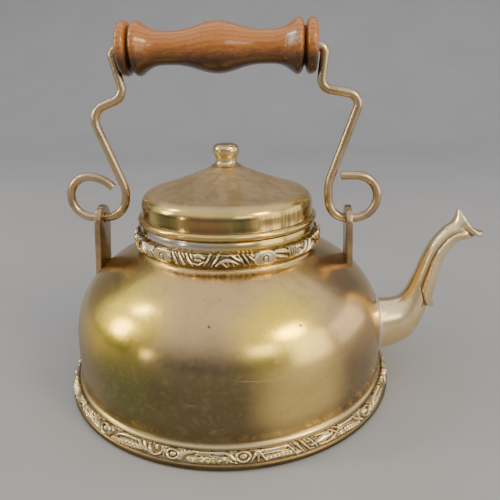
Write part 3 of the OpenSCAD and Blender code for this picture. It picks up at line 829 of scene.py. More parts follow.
def foot_motif(sheet):
    """Rococo scrolls of the foot strip, from a ringed boss on."""
    # leaves that fill the lower half
    sheet.leaf([(-111.5, 7.4), (-117, 6.6), (-123, 5.2)], (1.6, 2.6, 1.6), 0.7, 8)
    sheet.leaf([(-85.3, 7.8), (-90.5, 7.2), (-96.4, 6.6)], (1.8, 2.9, 1.9), 0.72, 7, 0.5, 0.4)
    sheet.leaf([(-74.4, 6.4), (-69.5, 7.0), (-64.6, 5.6)], (1.4, 2.2, 1.2), 0.7, 8, 0.3, 0.2)
    sheet.leaf([(-51.0, 6.4), (-46.5, 6.6), (-41.6, 5.0)], (1.6, 2.4, 1.5), 0.7, 8)
    sheet.leaf([(-99.7, 6.6), (-98.6, 10.2), (-95.4, 12.0)], (1.4, 1.9, 1.2), 0.9, 6, 0.6)
    for i, foot in enumerate((-95.6, -93.2, -91.2, -88.4, -86.2)):
        sheet.strand([(foot + 1.4, 8.4), (foot + 0.6, 6.6), (foot, 4.9 + 0.3 * (i % 2))],
                     (0.35, 0.85, 0.5), 0.85)
    # smooth bars along the upper edge
    for left, right in ((-94.6, -90.8), (-90.1, -86.9), (-75.8, -68.8), (-50.4, -44.6)):
        sheet.strand([(left + 0.6, 11.9), (right - 0.5, 12.0)], (1.6, 1.75), 1.12, 0.35)
    sheet.strand([(-122.2, 7.2), (-120.3, 10.6), (-117.2, 12.0), (-113.8, 12.0)],
                 (0.5, 1.1, 1.6, 1.5), 1.05, 0.4)
    sheet.strand([(-76.4, 9.5), (-72, 9.7), (-68.2, 9.2)], (0.4, 0.6, 0.4), 0.85)
    sheet.strand([(-95, 9.9), (-91, 9.8), (-86.6, 9.2)], (0.3, 0.5, 0.4), 0.75)
    sheet.strand([(-50.6, 9.6), (-47, 9.8), (-43.6, 8.4)], (0.4, 0.6, 0.4), 0.8)
    # scrolls and ribs
    sheet.strand([(-113.8, 13.4), (-112.4, 10), (-110, 6.4)], (0.55, 0.75, 0.45), 1.0)
    sheet.strand([(-111.6, 13.2), (-110.7, 9.4), (-108.4, 5.4)], (0.5, 0.7, 0.45), 0.95)
    sheet.strand([(-109.3, 13.3), (-109.1, 9), (-107.3, 5.8), (-105.3, 8), (-105.0, 13.2)],
                 (0.6, 0.8, 0.8, 0.7, 0.8), 1.1)
    sheet.strand([(-107.2, 11.9), (-107.0, 9.8)], (1.0, 0.9), 0.85)
    sheet.strand([(-104.1, 12.8), (-104.3, 9.6), (-104.6, 5.6)], (0.4, 0.6, 0.4), 0.8)
    sheet.strand([(-87.0, 12.8), (-85.2, 10.2), (-83.5, 6.6)], (0.7, 1.7, 0.6), 1.15)
    sheet.strand([(-88.0, 9.4), (-86.2, 7.0), (-83.4, 5.0)], (0.35, 0.6, 0.4), 0.8)
    sheet.strand([(-78.4, 12.9), (-76.8, 11.2)], (1.0, 1.3), 1.0)
    for foot in (-79.4, -77.2, -75.0):
        sheet.strand([(-77.1 + 0.25 * (foot + 77.2), 10.4), (foot, 4.9)], (1.0, 0.45), 0.95)
    for top, foot in ((-68.6, -66.0), (-66.3, -63.6), (-64.3, -61.7), (-61.7, -59.1)):
        sheet.strand([(top, 13.0), ((top + foot) / 2, 9.2), (foot, 4.8)], (0.75, 0.7, 0.5), 1.1)
    for a, z in ((-66.9, 9.4), (-65.4, 11.6), (-62.0, 10.4), (-60.8, 7.4)):
        sheet.strand([(a - 0.2, z + 0.3), (a + 0.2, z - 0.3)], (0.8, 0.8), 0.8)
    sheet.strand([(-58.6, 8.4), (-56.2, 9.2), (-53.6, 9.6)], (1.8, 2.6, 1.2), 1.15, 0.45)
    sheet.strand([(-59.4, 12.4), (-56.6, 12.6), (-54.4, 11.6)], (0.5, 0.9, 0.5), 0.7)
    sheet.strand([(-58.2, 5.8), (-54.2, 5.9), (-50.8, 9.6)], (0.6, 0.9, 0.5), 0.95)
    sheet.strand([(-54.2, 13.2), (-52.2, 9.8), (-50.6, 6.4)], (0.6, 0.75, 0.5), 1.0)
    sheet.strand([(-51.9, 13.1), (-49.6, 9.0), (-47.6, 5.2)], (0.5, 0.7, 0.4), 0.9)
    sheet.strand([(-44.2, 13.1), (-42.3, 9.0), (-39.8, 5.0)], (0.6, 0.8, 0.5), 1.05)
    sheet.strand([(-124.4, 13.0), (-123.6, 9.6), (-124.8, 5.4)], (0.5, 0.8, 0.5), 0.9)
    sheet.strand([(-130.8, 13.0), (-131.0, 9.4), (-129.6, 5.4)], (0.5, 0.8, 0.5), 0.9)
    # ringed bosses
    sheet.ring((sheet.start, 8.9), 3.35, 0.9, 1.2, 2.1, 1.0)
    sheet.ring((-81.4, 9.2), 3.35, 0.9, 1.2, 2.1, 0.9, 0.3)
    sheet.ring((-101.7, 8.9), 3.1, 0.85, 1.15, 1.9, 1.1)


def neck_motif(sheet):
    """Leaves and ribs of the neck gallery, between plain cartouches."""
    for middle in (-123.8, -63.8):
        sheet.plate((middle, 92.8), (6.1, 3.5), 0.85)
        sheet.strand([(middle - 6.4, 93.0), (middle - 3.4, 95.2), (middle, 95.9),
                        (middle + 3.4, 95.2), (middle + 6.4, 93.0)], (0.5, 0.7, 0.8, 0.7, 0.5), 1.1)
        sheet.strand([(middle - 6.2, 90.9), (middle, 89.9), (middle + 6.2, 90.9)],
                     (0.45, 0.6, 0.45), 0.9)
        sheet.ring((middle, 92.4), 2.1, 0.5, 0.95, 1.5, 1.15, 0.5)
    # ribs beside the first cartouche, leaf and short ribs beside the second
    for top, mid, foot in ((-116.4, -114.6, -113.2), (-112.2, -110.6, -108.7), (-107.4, -106.2, -103.9)):
        sheet.strand([(top, 95.9), (mid, 92.9), (foot, 90.2)], (0.55, 0.7, 0.5), 1.15)
        sheet.strand([(top + 1.9, 95.7), (mid + 2, 93.6)], (0.4, 0.35), 0.8)
    sheet.strand([(-57.6, 93.4), (-54, 92.4), (-49.6, 91.2)], (0.5, 0.75, 0.5), 1.0)
    sheet.leaf([(-57.2, 95.0), (-53, 94.8), (-48.8, 94.0)], (0.8, 1.2, 0.7), 1.1, 4)
    for top in (-48.6, -46.8, -45.2, -43.6, -42.0):
        sheet.strand([(top, 95.6), (top + 0.3, 93.2), (top + 1.1, 90.6)], (0.45, 0.6, 0.45), 1.1)
    # the rest of the motif is the same twice over
    for turn in (0, 60):
        def on(*points):
            return [(a + turn, z) for a, z in points]
        sheet.strand(on((-102.4, 94.7), (-100, 94.9), (-97.6, 94.2)), (0.8, 1.1, 0.6), 1.0)
        sheet.strand(on((-104.2, 91.2), (-100.4, 90.6), (-97.6, 92.2)), (0.4, 0.6, 0.45), 0.9)
        sheet.strand(on((-101.8, 92.9), (-99.6, 92.7)), (0.9, 0.8), 0.75)
        sheet.strand(on((-93.6, 96.4), (-94.9, 93.6), (-97.5, 90.6)), (0.75, 0.85, 0.5), 1.2)
        sheet.strand(on((-89.0, 96.3), (-90.9, 93.2), (-93.5, 90.3)), (0.75, 0.85, 0.5), 1.2)
        sheet.strand(on((-91.0, 90.5), (-88.6, 92.1), (-85.2, 93.1), (-81.8, 92.4), (-79.2, 91.2)),
                     (0.7, 0.85, 1.0, 0.85, 0.55), 1.15)
        sheet.strand(on((-88.4, 92.0), (-86.9, 91.2), (-85.3, 90.0)), (0.6, 0.75, 0.5), 1.1)
        sheet.strand(on((-85.0, 92.6), (-84.4, 90.4)), (0.5, 0.45), 0.95)
        sheet.strand(on((-82.2, 92.0), (-81.6, 90.4)), (0.4, 0.4), 0.85)
        sheet.strand(on((-88.0, 95.6), (-84.2, 95.2), (-80.2, 95.5)), (0.3, 0.45, 0.3), 0.5)
        sheet.strand(on((-83.2, 95.6), (-80.6, 94.2), (-78.0, 92.6)), (0.55, 0.85, 0.5), 1.1)
        sheet.strand(on((-79.3, 95.7), (-77.6, 93.6), (-75.9, 90.4)), (0.5, 0.75, 0.5), 1.1)
        sheet.strand(on((-76.6, 95.7), (-74.8, 93.4), (-72.9, 90.5)), (0.5, 0.75, 0.5), 1.1)
        sheet.strand(on((-74.0, 95.4), (-71.6, 93.2), (-70.0, 91.7)), (0.5, 0.7, 0.45), 1.0)
        sheet.strand(on((-71.6, 95.2), (-70.9, 94.6)), (0.8, 0.8), 1.05)


def strip_cell(name, sheet, outer, back):
    """One motif as an open length of strip: outer gives the face's radius and height for each
    place of the sheet, back the points that close its section behind."""
    radius, height = outer(sheet)
    columns = sheet.columns + 1
    tail = back(height)
    radius = np.hstack([radius, tail[:, :, 0]])
    height = np.hstack([height, tail[:, :, 1]])
    angle = np.radians(sheet.start + np.linspace(0, sheet.degrees, columns))[:, None]
    points = np.stack([radius * np.cos(angle), radius * np.sin(angle), height], -1)
    rows = radius.shape[1]
    i, j = np.meshgrid(np.arange(columns - 1), np.arange(rows), indexing="ij")
    beside = (j + 1) % rows
    faces = np.stack([i * rows + j, (i + 1) * rows + j, (i + 1) * rows + beside, i * rows + beside], -1)
    mesh = bpy.data.meshes.new(name)
    mesh.from_pydata((points.reshape(-1, 3) * MM).tolist(), [], faces.reshape(-1, 4).tolist())
    # The crevice label holds how deep each place lies, which the finishes paint as shade
    for label, values in (("relief", np.clip(sheet.height, 0, 1)), ("crevice_shade", sheet.crevices())):
        filled = np.hstack([values, np.zeros((columns, rows - sheet.rows))])
        label_points(mesh, label, filled)
    return in_scene(name, mesh)


def grown_mesh(piece, tree, values):
    """Runs a geometry tree on a piece, with its named inputs set, and keeps the plain mesh."""
    modifier = piece.modifiers.new(tree.name, "NODES")
    modifier.node_group = tree
    inputs = {item.name: item.identifier for item in tree.interface.items_tree
              if item.item_type == "SOCKET" and item.in_out == "INPUT"}
    for name, value in values.items():
        modifier[inputs[name]] = value
    return plain_mesh(piece)


def new_tree(name, inputs):
    """A geometry tree with a geometry input and output and further named inputs."""
    tree = bpy.data.node_groups.new(name, "GeometryNodeTree")
    tree.interface.new_socket("Geometry", in_out="OUTPUT", socket_type="NodeSocketGeometry")
    tree.interface.new_socket("Geometry", in_out="INPUT", socket_type="NodeSocketGeometry")
    for label, kind in inputs.items():
        tree.interface.new_socket(label, in_out="INPUT", socket_type="NodeSocket" + kind)
    maker = Maker(tree)
    source = tree.nodes.new("NodeGroupInput")
    given = {socket.name: Signal(maker, socket) for socket in source.outputs if socket.name}
    return tree, maker, given


def finish_tree(maker, shape, material):
    """Ends a tree: instances made real, smooth shading, the material set."""
    real = maker.node("GeometryNodeRealizeInstances", None, {0: shape})
    smooth = maker.node("GeometryNodeSetShadeSmooth", None, {0: real})
    painted = maker.node("GeometryNodeSetMaterial", None, {0: smooth, "Material": material})
    maker.node("NodeGroupOutput", None, {0: painted})


def ring_of_motifs():
    """A tree that repeats a length of strip round Z and closes it into a ring."""
    tree, maker, given = new_tree("ring_of_motifs", {"Repeats": "Int", "Material": "Material"})
    count = given["Repeats"]
    spots = maker.node("GeometryNodePoints", None, {"Count": count})
    index = maker.node("GeometryNodeInputIndex")
    turn = maker.node("ShaderNodeMath", {"operation": "DIVIDE"}, {0: index * (2 * math.pi), 1: count})
    angles = maker.node("ShaderNodeCombineXYZ", None, {2: turn})
    placed = maker.node("GeometryNodeInstanceOnPoints", None, {
        "Points": spots, "Instance": given["Geometry"], "Rotation": angles})
    real = maker.node("GeometryNodeRealizeInstances", None, {0: placed})
    closed = maker.node("GeometryNodeMergeByDistance", None, {0: real, "Distance": 0.001 * MM})
    finish_tree(maker, closed, given["Material"])
    return tree


FOOT_TURN, FOOT_REPEATS = -126.8, 4
NECK_TURN, NECK_REPEATS = -123.8, 3
GALLERY_DROP = 1.3


def make_foot_strip(tree, finish):
    sheet = Sheet(FOOT_R - 0.7, FOOT_TURN, 360 / FOOT_REPEATS, 3.9, 13.15, 0.27)
    foot_motif(sheet)
    sheet.soften(2)
    foot, head = np.array((SKIRT_R + 0.45, STRIP_LOW)), np.array((COVE[0] - 1.15, FLANGE_H + 0.1))
    slope = (head - foot) / np.linalg.norm(head - foot)
    ground, relief = 0.3, 1.35

    def outer(sheet):
        share = (sheet.z - sheet.z.min()) / np.ptp(sheet.z)
        hem = np.clip(np.minimum(share / 0.07, (1 - share) / 0.05), 0, 1) ** 0.5
        proud = hem * (ground + relief * sheet.height)
        place = foot + (head - foot) * share[..., None]
        return place[..., 0] + slope[1] * proud, place[..., 1] - slope[0] * proud

    def back(height):
        ends = [(COVE[0] - 1.3, height[:, -1] - 0.1), (SKIRT_R, height[:, 0])]
        return np.stack([np.stack([np.full_like(z, r), z], -1) for r, z in ends], 1)

    strip = strip_cell("foot_strip_relief", sheet, outer, back)
    grown_mesh(strip, tree, {"Repeats": FOOT_REPEATS, "Material": finish})
    return settle(strip, "kettle", "pale_ornament", finish, "foot_band")


def make_neck_gallery(tree, finish):
    low_z, high_z = NECK_H + 3.6, NECK_H + 9.9
    sheet = Sheet(NECK_R + 5.2, NECK_TURN, 360 / NECK_REPEATS, low_z, high_z, 0.24)
    neck_motif(sheet)
    sheet.soften(1)

    stand_off, belly = 4.05, 0.75

    def outer(sheet):
        share = (sheet.z - low_z) / (high_z - low_z)
        base = NECK_R + stand_off + belly * np.sin(math.pi * (0.12 + 0.8 * share))
        hem = np.clip(np.minimum(share / 0.05, (1 - share) / 0.06), 0, 1) ** 0.5
        top = sheet.height[:, -4:].max(1, keepdims=True)
        foot = sheet.height[:, :4].max(1, keepdims=True)
        stretch = share ** 3 * (0.75 * top) - (1 - share) ** 3 * (0.5 * foot)
        return base - 0.3 + 0.3 * hem + hem * sheet.height, sheet.z - GALLERY_DROP + stretch

    def back(height):
        top = height[:, -1]
        ends = [(NECK_R + 3.4, top - 0.15), (NECK_R + 2.0, 0 * top + NECK_H + 8.2),
                (NECK_R + 0.02, 0 * top + NECK_H + 8.2), (NECK_R + 0.02, 0 * top + NECK_H),
                (NECK_R + 3.2, 0 * top + NECK_H), (NECK_R + 3.3, height[:, 0] - 0.5)]
        return np.stack([np.stack([np.full_like(top, r), z], -1) for r, z in ends], 1)

    strip = strip_cell("neck_gallery_relief", sheet, outer, back)
    grown_mesh(strip, tree, {"Repeats": NECK_REPEATS, "Material": finish})
    return settle(strip, "kettle", "pale_ornament", finish, "neck_band")


# Spout: stations of upper x and z, lower x and z, and half width

ROOT_HALF_W, ROOT_HALF_H = 14.5, 16.5
SPOUT_STATIONS = np.array([
    (BODY_R - 2, SPOUT_ROOT_H + ROOT_HALF_H, BODY_R - 0.4, SPOUT_ROOT_H - ROOT_HALF_H, ROOT_HALF_W),
    (98, 47.5, 102, 16, 13.2), (104.6, 48.8, 113.5, 22.5, 11.5), (109.2, 53.7, 120, 34, 9.8),
    (112.4, 61, 123.6, 47, 8.3), (115.1, 69, 126, 60.5, 7), (118.1, 78, 128, 72.5, 6.3),
    (122.2, 86.3, 131, 80.3, 5.9), (128.3, 94.1, 136.4, 86.8, 5.9), (133, 98, 143.4, 88.6, 6.4),
    (135.4, 105, 150.3, 88.9, 6.9),
])
SPOUT_WALL = 1.6
ROOT_U = 0.16
LEAF_FROM, LEAF_TO, LEAF_PROUD = 3.8, 9.6, 1.7


def station(u):
    """One smooth row of the spout's stations at a place between two of them."""
    i = min(int(u), len(SPOUT_STATIONS) - 2)
    t = u - i
    p0, p1, p2, p3 = (SPOUT_STATIONS[k] for k in (max(i - 1, 0), i, i + 1,
                                                  min(i + 2, len(SPOUT_STATIONS) - 1)))
    return 0.5 * (2 * p1 + (p2 - p0) * t + (2 * p0 - 5 * p1 + 4 * p2 - p3) * t * t
                  + (3 * p1 - p0 - 3 * p2 + p3) * t ** 3)


def bell(value, width):
    """A soft bump of height 1 at 0."""
    return np.exp(-(value / width) ** 2)


def spout_row(u, phi, out):
    """A loop of the spout's skin at a place along it, moved out by a distance. phi runs round
    from the upper line; the mouth's sides are set back between crest and lip."""
    s = station(u)
    mid, half = (s[:2] + s[2:4]) / 2, (s[:2] - s[2:4]) / 2
    size = np.linalg.norm(half)
    flare = max(0, (u - 8.4) / 1.6) ** 2
    forward = np.array((half[1], -half[0])) / size
    wide = (s[4] + out) * (1 - 0.35 * flare * np.clip(np.cos(phi), 0, None))
    reach = ((size + out) / size * np.cos(phi))[:, None] * half
    flat = mid + reach - (1.8 * flare * (1 - np.abs(np.cos(phi))))[:, None] * forward
    return np.stack([flat[:, 0], wide * np.sin(phi), flat[:, 1]], -1)


def root_row(phi, out):
    """The loop where the spout lies on the body's own surface."""
    z = SPOUT_ROOT_H + (ROOT_HALF_H + out) * np.cos(phi)
    y = (ROOT_HALF_W + out) * np.sin(phi)
    return np.stack([np.sqrt(body_radius(z) ** 2 - y * y), y, z], -1)


def leaf_lift(u, phi):
    """How far the tongue leaf stands off the spout, and how deep the groove beside it lies."""
    t = (u - LEAF_FROM) / (LEAF_TO - LEAF_FROM)
    if not -0.06 < t < 1:
        return 0 * phi, 0 * phi
    grown = max(t, 0)
    half = math.radians(102 * math.sqrt(min(1, 0.42 + 9 * grown)) - 18 * grown)
    q = np.abs(phi - math.pi) / half
    proud = LEAF_PROUD * (1 - (max(0, t - 0.8) / 0.2) ** 2)
    ball = 4.4 * bell(u - 4.06, 0.18) * bell(phi - math.pi, 0.42)
    crown = 0.22 * bell(q - 0.88, 0.06) - 0.25 * bell(q - 0.62, 0.16)
    dots = 0.1 * np.sin(u * 40) * bell(q - 0.76, 0.035)
    on = (t > 0) * np.clip(t / 0.02, 0, 1) ** 0.5 * (q < 1)
    lift = (proud * np.clip(1 - q ** 7, 0, 1) ** 0.5 + crown + dots + ball) * on
    groove = bell(q - 1.07, 0.075) * (1 - grown ** 4)
    if t < 0.01:
        groove = np.maximum(groove, bell(t, 0.025) * (q < 1.05))
    return lift, groove * (1 - on)


def make_spout(finish):
    rings, sides = 190, 128
    lip_u = len(SPOUT_STATIONS) - 1
    phi = np.linspace(0, 2 * math.pi, sides, endpoint=False)
    turn = np.minimum(phi, 2 * math.pi - phi)
    outer, grooves, seams = [], [], []
    for out, forward in ((2.6, -0.1), (2.7, 0.3), (2.2, 0.65), (1.3, 0.85), (0.5, 1.1)):
        outer.append(root_row(phi, out) + (forward, 0, 0))
        grooves.append(0 * phi)
        seams.append(0 * phi + 1)
    for u in np.linspace(ROOT_U, lip_u, rings):
        lift, groove = leaf_lift(u, phi)
        lower = np.clip(0.4 - np.cos(turn), 0, 1) ** 0.5
        bead = (1.0 * bell(u - 9.9, 0.25) - 0.9 * bell(u - 9.3, 0.2)) * lower
        crest = 0.5 * bell(u - 9.9, 0.5) * bell(turn, 0.4)
        outer.append(spout_row(u, phi, lift - 0.4 * groove + bead + crest))
        # Painted shade in the leaf's grooves and under the lip's bead, carried to the finish as a label
        grooves.append(np.maximum(groove, 0.9 * bell(u - 9.3, 0.2) * lower))
        seams.append(0 * phi + float(u < 0.34))
    thick = SPOUT_WALL + 2.0 * bell(turn, 0.45) + 2.2 * bell(turn - math.pi, 0.8)
    brim, throat = outer[-1], spout_row(lip_u, phi, -thick)
    ahead = np.array((0.73, 0, 0.685))
    for share in (0.12, 0.3, 0.5, 0.7, 0.88):
        swell = (0.4 + 0.35 * bell(turn - math.pi, 0.9)) * thick
        swell = swell[:, None] * math.sin(math.pi * share)
        outer.append(brim * (1 - share) + throat * share + ahead * swell)
        grooves.append(0 * phi)
        seams.append(0 * phi)
    inner = [spout_row(u, phi, -SPOUT_WALL - (thick - SPOUT_WALL) * max(0, u - 9.2) / 0.8)
             for u in np.linspace(lip_u, ROOT_U, rings // 2)]
    inner.append(root_row(phi, -SPOUT_WALL))
    spout = skin("spout_cast", np.array(outer + inner))
    # Painted shade: the whole inside of the spout
    deep = np.full((len(inner), sides), 0.9)
    for label, rows in (("crevice_shade", grooves + list(deep)), ("seam", seams + list(0 * deep))):
        label_points(spout.data, label, rows)
    return settle(spout, "kettle", "cast_brass", finish, "spout")


# Ears and bail

def ear_outline(grow):
    """The flat outline of an ear about the rod's hole, as points across and up."""
    half = EAR_W / 2 + grow
    return joined([(half, -60)], arc((0, 7.8 - EAR_W / 2), half, 0, 180, 40), [(-half, -60)])


def make_ear(node, finish):
    """A flat leaning ear with eased edges and a drilled hole, its foot cut to the shoulder."""
    x, lean = EARS[node]
    side, edge = EAR_T / 2, 0.45
    layers = [(-side, -edge), (-side + edge * 0.3, -edge * 0.3), (-side + edge, 0),
              (side - edge, 0), (side - edge * 0.3, -edge * 0.3), (side, -edge)]
    points = [(across, y, z) for across, grow in layers for y, z in ear_outline(grow)]
    count = len(points) // len(layers)
    faces = [[k * count + j, k * count + (j + 1) % count, (k + 1) * count + (j + 1) % count,
              (k + 1) * count + j] for k in range(len(layers) - 1) for j in range(count)]
    faces += [list(range(count)), [(len(layers) - 1) * count + j for j in range(count)]]
    ear = mesh_object(node + "_flat", points, faces)
    hole = ROD_R + 0.5
    drill = spun("drill", [(0, -side - 1), (hole + 1.3, -side - 1), (hole, -side + 0.3),
                           (hole, side - 0.3), (hole + 1.3, side + 1), (0, side + 1)], 64)
    drill.data.transform(Matrix.Rotation(math.pi / 2, 4, "Y"))
    cut(ear, drill)
    ear.data.transform(Matrix.Translation(Vector((x, 0, AXIS_H)) * MM)
                       @ Matrix.Rotation(math.radians(lean), 4, "Y"))
    core = joined([(0, 20)], BODY_LINE[BODY_LINE[:, 1] > 20], [(0, NECK_H - 2.1)])
    cut(ear, spun("core", core, 192))
    return settle(ear, "kettle", "ear_brass", finish, node)


ROD_CORNERS = [
    (-68.6, 118.2, 0), (-75.2, AXIS_H + 25, 20), (-95, AXIS_H + 25, 12.4), (-95, AXIS_H, 12.4),
    (-62.9, AXIS_H, 13), (-60.8, 116.5, 18), (-77.8, 162.1, 9), (-56.9, 170.2, 7),
    (-62.6, GRIP_H, 3.7), (55.4, GRIP_H, 3.5), (53.3, 173.8, 6), (76.4, 169.6, 6.5), (59.4, 120, 20),
    (61, AXIS_H, 11), (88.3, AXIS_H, 12.7), (88.3, AXIS_H + 25.4, 12.7), (66.7, AXIS_H + 25.4, 0),
]


def rod_path():
    """The rod's centre line in X and Z: straight runs joined by bends of a true radius."""
    corners = np.array(ROD_CORNERS)
    runs = np.diff(corners[:, :2], axis=0)
    headings = np.arctan2(runs[:, 1], runs[:, 0])
    turns = (np.diff(headings) + math.pi) % (2 * math.pi) - math.pi
    used = np.r_[0, corners[1:-1, 2] * np.abs(np.tan(turns / 2)), 0]
    straight = np.linalg.norm(runs, axis=1) - used[:-1] - used[1:]
    path = [corners[0, :2]]
    for i in range(1, len(corners) - 1):
        turn = turns[i - 1]
        radius, side = corners[i, 2], math.copysign(1, turn)
        come = np.array((math.cos(headings[i - 1]), math.sin(headings[i - 1])))
        normal = np.array((-come[1], come[0])) * side
        centre = corners[i, :2] - come * used[i] + normal * radius
        places = np.linspace(0, 1, max(3, int(abs(turn) / math.radians(5))))
        for k in places if straight[i] > 0.1 else places[:-1]:
            a = turn * k
            spin = np.array(((math.cos(a), -math.sin(a)), (math.sin(a), math.cos(a))))
            path.append(centre - spin @ normal * radius)
    path.append(corners[-1, :2])
    keep = [path[0]] + [b for a, b in zip(path, path[1:]) if np.linalg.norm(b - a) > 0.02]
    return np.array(keep)


def rod_tree():
    """A tree that sweeps a round rod along a line of points, each with its share of the radius."""
    tree, maker, given = new_tree("bent_rod", {
        "Radius": "Float", "Sides": "Int", "Material": "Material"})
    share = maker.node("GeometryNodeInputNamedAttribute", {"data_type": "FLOAT"}, {0: "share"})
    line = maker.node("GeometryNodeMeshToCurve", None, {0: given["Geometry"]})
    line = maker.node("GeometryNodeSetCurveRadius", None, {0: line, "Radius": share})
    ring = maker.node("GeometryNodeCurvePrimitiveCircle", None, {
        "Resolution": given["Sides"], "Radius": given["Radius"]})
    swept = maker.node("GeometryNodeCurveToMesh", None, {0: line, 1: ring, "Fill Caps": True})
    finish_tree(maker, swept, given["Material"])
    return tree


def make_bail(finish):
    path = rod_path()
    ends = [0.25, 0.6, 0.85, 1.0]
    steps = [0.0, 0.12, 0.4, 0.9]
    start, stop = path[1] - path[0], path[-2] - path[-1]
    start, stop = start / np.linalg.norm(start), stop / np.linalg.norm(stop)
    line = ([path[0] + start * s for s in steps] + list(path[1:-1])
            + [path[-1] + stop * s for s in reversed(steps)])
    shares = ends + [1.0] * (len(path) - 2) + ends[::-1]
    mesh = bpy.data.meshes.new("bail_rod_bent")
    mesh.from_pydata([(x * MM, 0, z * MM) for x, z in line],
                     [(i, i + 1) for i in range(len(line) - 1)], [])
    label_points(mesh, "share", shares)
    rod = in_scene("bail_rod_bent", mesh)
    grown_mesh(rod, rod_tree(), {"Radius": ROD_R * MM, "Sides": 28, "Material": finish})
    return settle(rod, "bail", "rod_brass", finish, "bail_rod")


def make_grip(finish):
    """The turned grip, spun round its own length, with crisp grooves beside its beads."""
    end, bead, belly, waist = GRIP_LEN / 2, 14.4, 13.5, 8.8
    half = joined(
        bezier((0, belly), (9, belly), (14, waist), (25, waist), 36),
        bezier((29, waist), (36, waist), (end - 16.3, bead - 3.4), (end - 12.2, bead - 0.5), 22),
        arc((end - 10.6, bead - 2.8), 2.8, 125, 0, 16),
        [(end - 7.35, bead - 3.9), (end - 7.0, bead - 4.3), (end - 6.6, bead - 3.9)],
        arc((end - 3.3, bead - 3), 3, 190, 10, 20),
        [(end - 0.1, bead - 3.6), (end, bead - 5)],
    )
    line = joined([(r, -s) for s, r in half[::-1]], [(r, s) for s, r in half[1:]])
    bore = ROD_R + 0.3
    outline = joined(line, [(bore + 0.5, end), (bore, end - 0.6), (bore, 0.6 - end), (bore + 0.5, -end)])
    grip = spun("grip_turned", outline, 160)
    grip.data.transform(Matrix.Translation(Vector((GRIP_X, 0, GRIP_H)) * MM)
                        @ Matrix.Rotation(math.pi / 2, 4, "Y"))
    return settle(grip, "grip", "turned_wood", finish, "wood_grip")


def keep_node(node, finish):
    """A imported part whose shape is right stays, with a better finish."""
    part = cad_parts[node]
    for slot in part.material_slots:
        slot.material = finish


# Stage, lights and camera

def make_floor():
    """A plain pale floor, far wider than the view, that curves up into a backdrop."""
    f = Finish("pale_floor")
    tone = f.mix(f.cloud(160, 2).rise(0.3, 0.7), (0.34, 0.34, 0.355), (0.36, 0.36, 0.375))
    material = f.done(tone, 0.7, f.bump(f.cloud(1.2, 2), 0.03), metal=0.0)
    mesh = bpy.data.meshes.new("floor")
    reach, curve_from, curve_r, wall_top = 4, 1.0, 0.8, 2.6
    profile = joined([(-reach, 0)], arc((curve_from, curve_r), curve_r, -90, 0, 24),
                     [(curve_from + curve_r, wall_top)])
    mesh.from_pydata([(x, y, z) for y, z in profile for x in (-reach, reach)], [],
                     [(2 * i, 2 * i + 1, 2 * i + 3, 2 * i + 2) for i in range(len(profile) - 1)])
    mesh.shade_smooth()
    mesh.materials.append(material)
    in_scene("floor", mesh)


# Name: direction from the kettle, distance, width and height, power, colour
LAMPS = {
    "window_left": ((-0.92, -0.16, 0.33), 1.3, (0.22, 0.36), 4.4, (1.0, 0.83, 0.40)),
    "window_left_top": ((-0.74, -0.05, 0.67), 1.3, (0.10, 0.22), 1.8, (1.0, 0.96, 0.84)),
    "window_left_low": ((-0.78, -0.61, 0.12), 1.3, (0.06, 0.20), 0.7, (1.0, 0.80, 0.55)),
    "window_right": ((0.65, -0.46, 0.58), 1.3, (0.36, 0.26), 5.4, (1.0, 0.81, 0.36)),
    "window_front": ((0.42, -0.80, 0.38), 1.3, (0.42, 0.30), 1.5, (1.0, 0.94, 0.84)),
    "window_far_right": ((0.86, -0.46, 0.20), 1.5, (0.80, 0.80), 4.8, (1.0, 0.91, 0.76)),
    "fill_right": ((0.97, 0.17, 0.14), 1.5, (0.9, 0.7), 2.8, (1.0, 0.94, 0.88)),
    "fill_left": ((-0.92, 0.08, 0.30), 1.5, (0.6, 0.8), 0.7, (0.97, 1.0, 0.92)),
}
LAMP_AIM = Vector((0, 0, 0.08))


def make_lamps():
    """Soft lamps round the kettle, each turned to face it."""
    for name, (direction, distance, size, power, colour) in LAMPS.items():
        data = bpy.data.lights.new(name, "AREA")
        data.shape, data.size, data.size_y = "RECTANGLE", *size
        data.energy, data.color = power, colour
        lamp = in_scene(name, data)
        lamp.location = LAMP_AIM + Vector(direction).normalized() * distance
        lamp.rotation_mode = "QUATERNION"
        lamp.rotation_quaternion = (LAMP_AIM - lamp.location).to_track_quat("-Z", "Y")


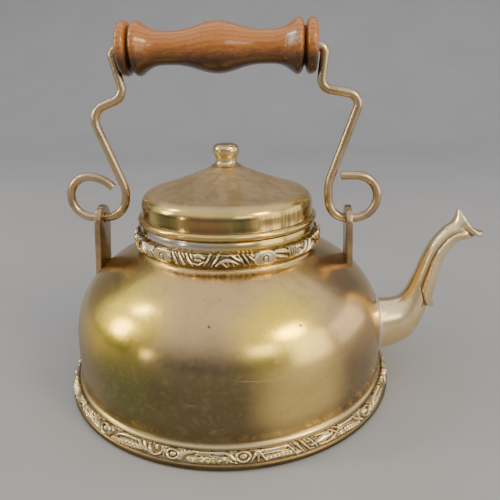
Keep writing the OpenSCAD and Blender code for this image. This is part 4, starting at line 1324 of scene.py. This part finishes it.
def make_sky():
    """Even studio surroundings, dim near the floor and bright overhead."""
    world = bpy.data.worlds.new("studio")
    world.use_nodes = True
    world.node_tree.nodes.clear()
    bpy.context.scene.world = world
    maker = Maker(world.node_tree)
    split = maker.node("ShaderNodeSeparateXYZ", None, {0: maker.node("ShaderNodeTexCoord")})
    up = Signal(maker, split.socket.node.outputs[2])
    tone = maker.node("ShaderNodeMix", {"data_type": "RGBA"}, {
        0: up.rise(0.05, 0.7), 6: (0.25, 0.255, 0.275, 1), 7: (0.90, 0.91, 0.95, 1)}, output=2)
    light = maker.node("ShaderNodeBackground", None, {0: tone, 1: 1.2})
    maker.node("ShaderNodeOutputWorld", None, {0: light})


CAMERA_PLACE = Vector((31.0, -291.3, 178.4)) * MM
CAMERA_PITCH, CAMERA_HEADING, CAMERA_ROLL = math.radians(18.8), math.radians(3.5), -0.0137


def make_camera():
    """The photograph's view, through a lens as long as the film is wide."""
    pitch, heading, roll = CAMERA_PITCH, CAMERA_HEADING, CAMERA_ROLL
    ahead = Vector((-math.sin(heading) * math.cos(pitch), math.cos(heading) * math.cos(pitch),
                    -math.sin(pitch)))
    right = Vector((math.cos(heading), math.sin(heading), 0))
    up = right.cross(ahead)
    right, up = (right * math.cos(roll) + up * math.sin(roll),
                 up * math.cos(roll) - right * math.sin(roll))
    data = bpy.data.cameras.new("camera")
    data.sensor_width = data.lens = 36
    data.clip_start, data.clip_end = 0.01, 50
    camera = in_scene("camera", data)
    turned = Matrix((right, up, -ahead)).transposed().to_4x4()
    camera.matrix_world = Matrix.Translation(CAMERA_PLACE) @ turned
    bpy.context.scene.camera = camera


make_camera()
make_floor()
make_sky()
make_lamps()

ornament = pale_ornament()
polished = lid_brass()
make_body(spun_brass())
make_foot_pan(red_rim())
make_neck_ring(polished)
make_lid(polished)
make_knob(polished)
motifs = ring_of_motifs()
make_foot_strip(motifs, ornament)
make_neck_gallery(motifs, ornament)
make_spout(cast_brass())
ear_metal = drawn_brass("dull_ear_brass", (0.52, 0.36, 0.20), (0.32, 0.22, 0.12), 21)
make_ear("ear_left", ear_metal)
make_ear("ear_right", ear_metal)
make_bail(drawn_brass("dull_rod_brass", (0.62, 0.46, 0.27), (0.41, 0.30, 0.17), 31))
make_grip(turned_wood())
inner = drawn_brass("unpolished_inner_brass", (0.50, 0.37, 0.18), (0.34, 0.25, 0.12), 41)
keep_node("lid_collar", inner)
keep_node("knob_nut", inner)
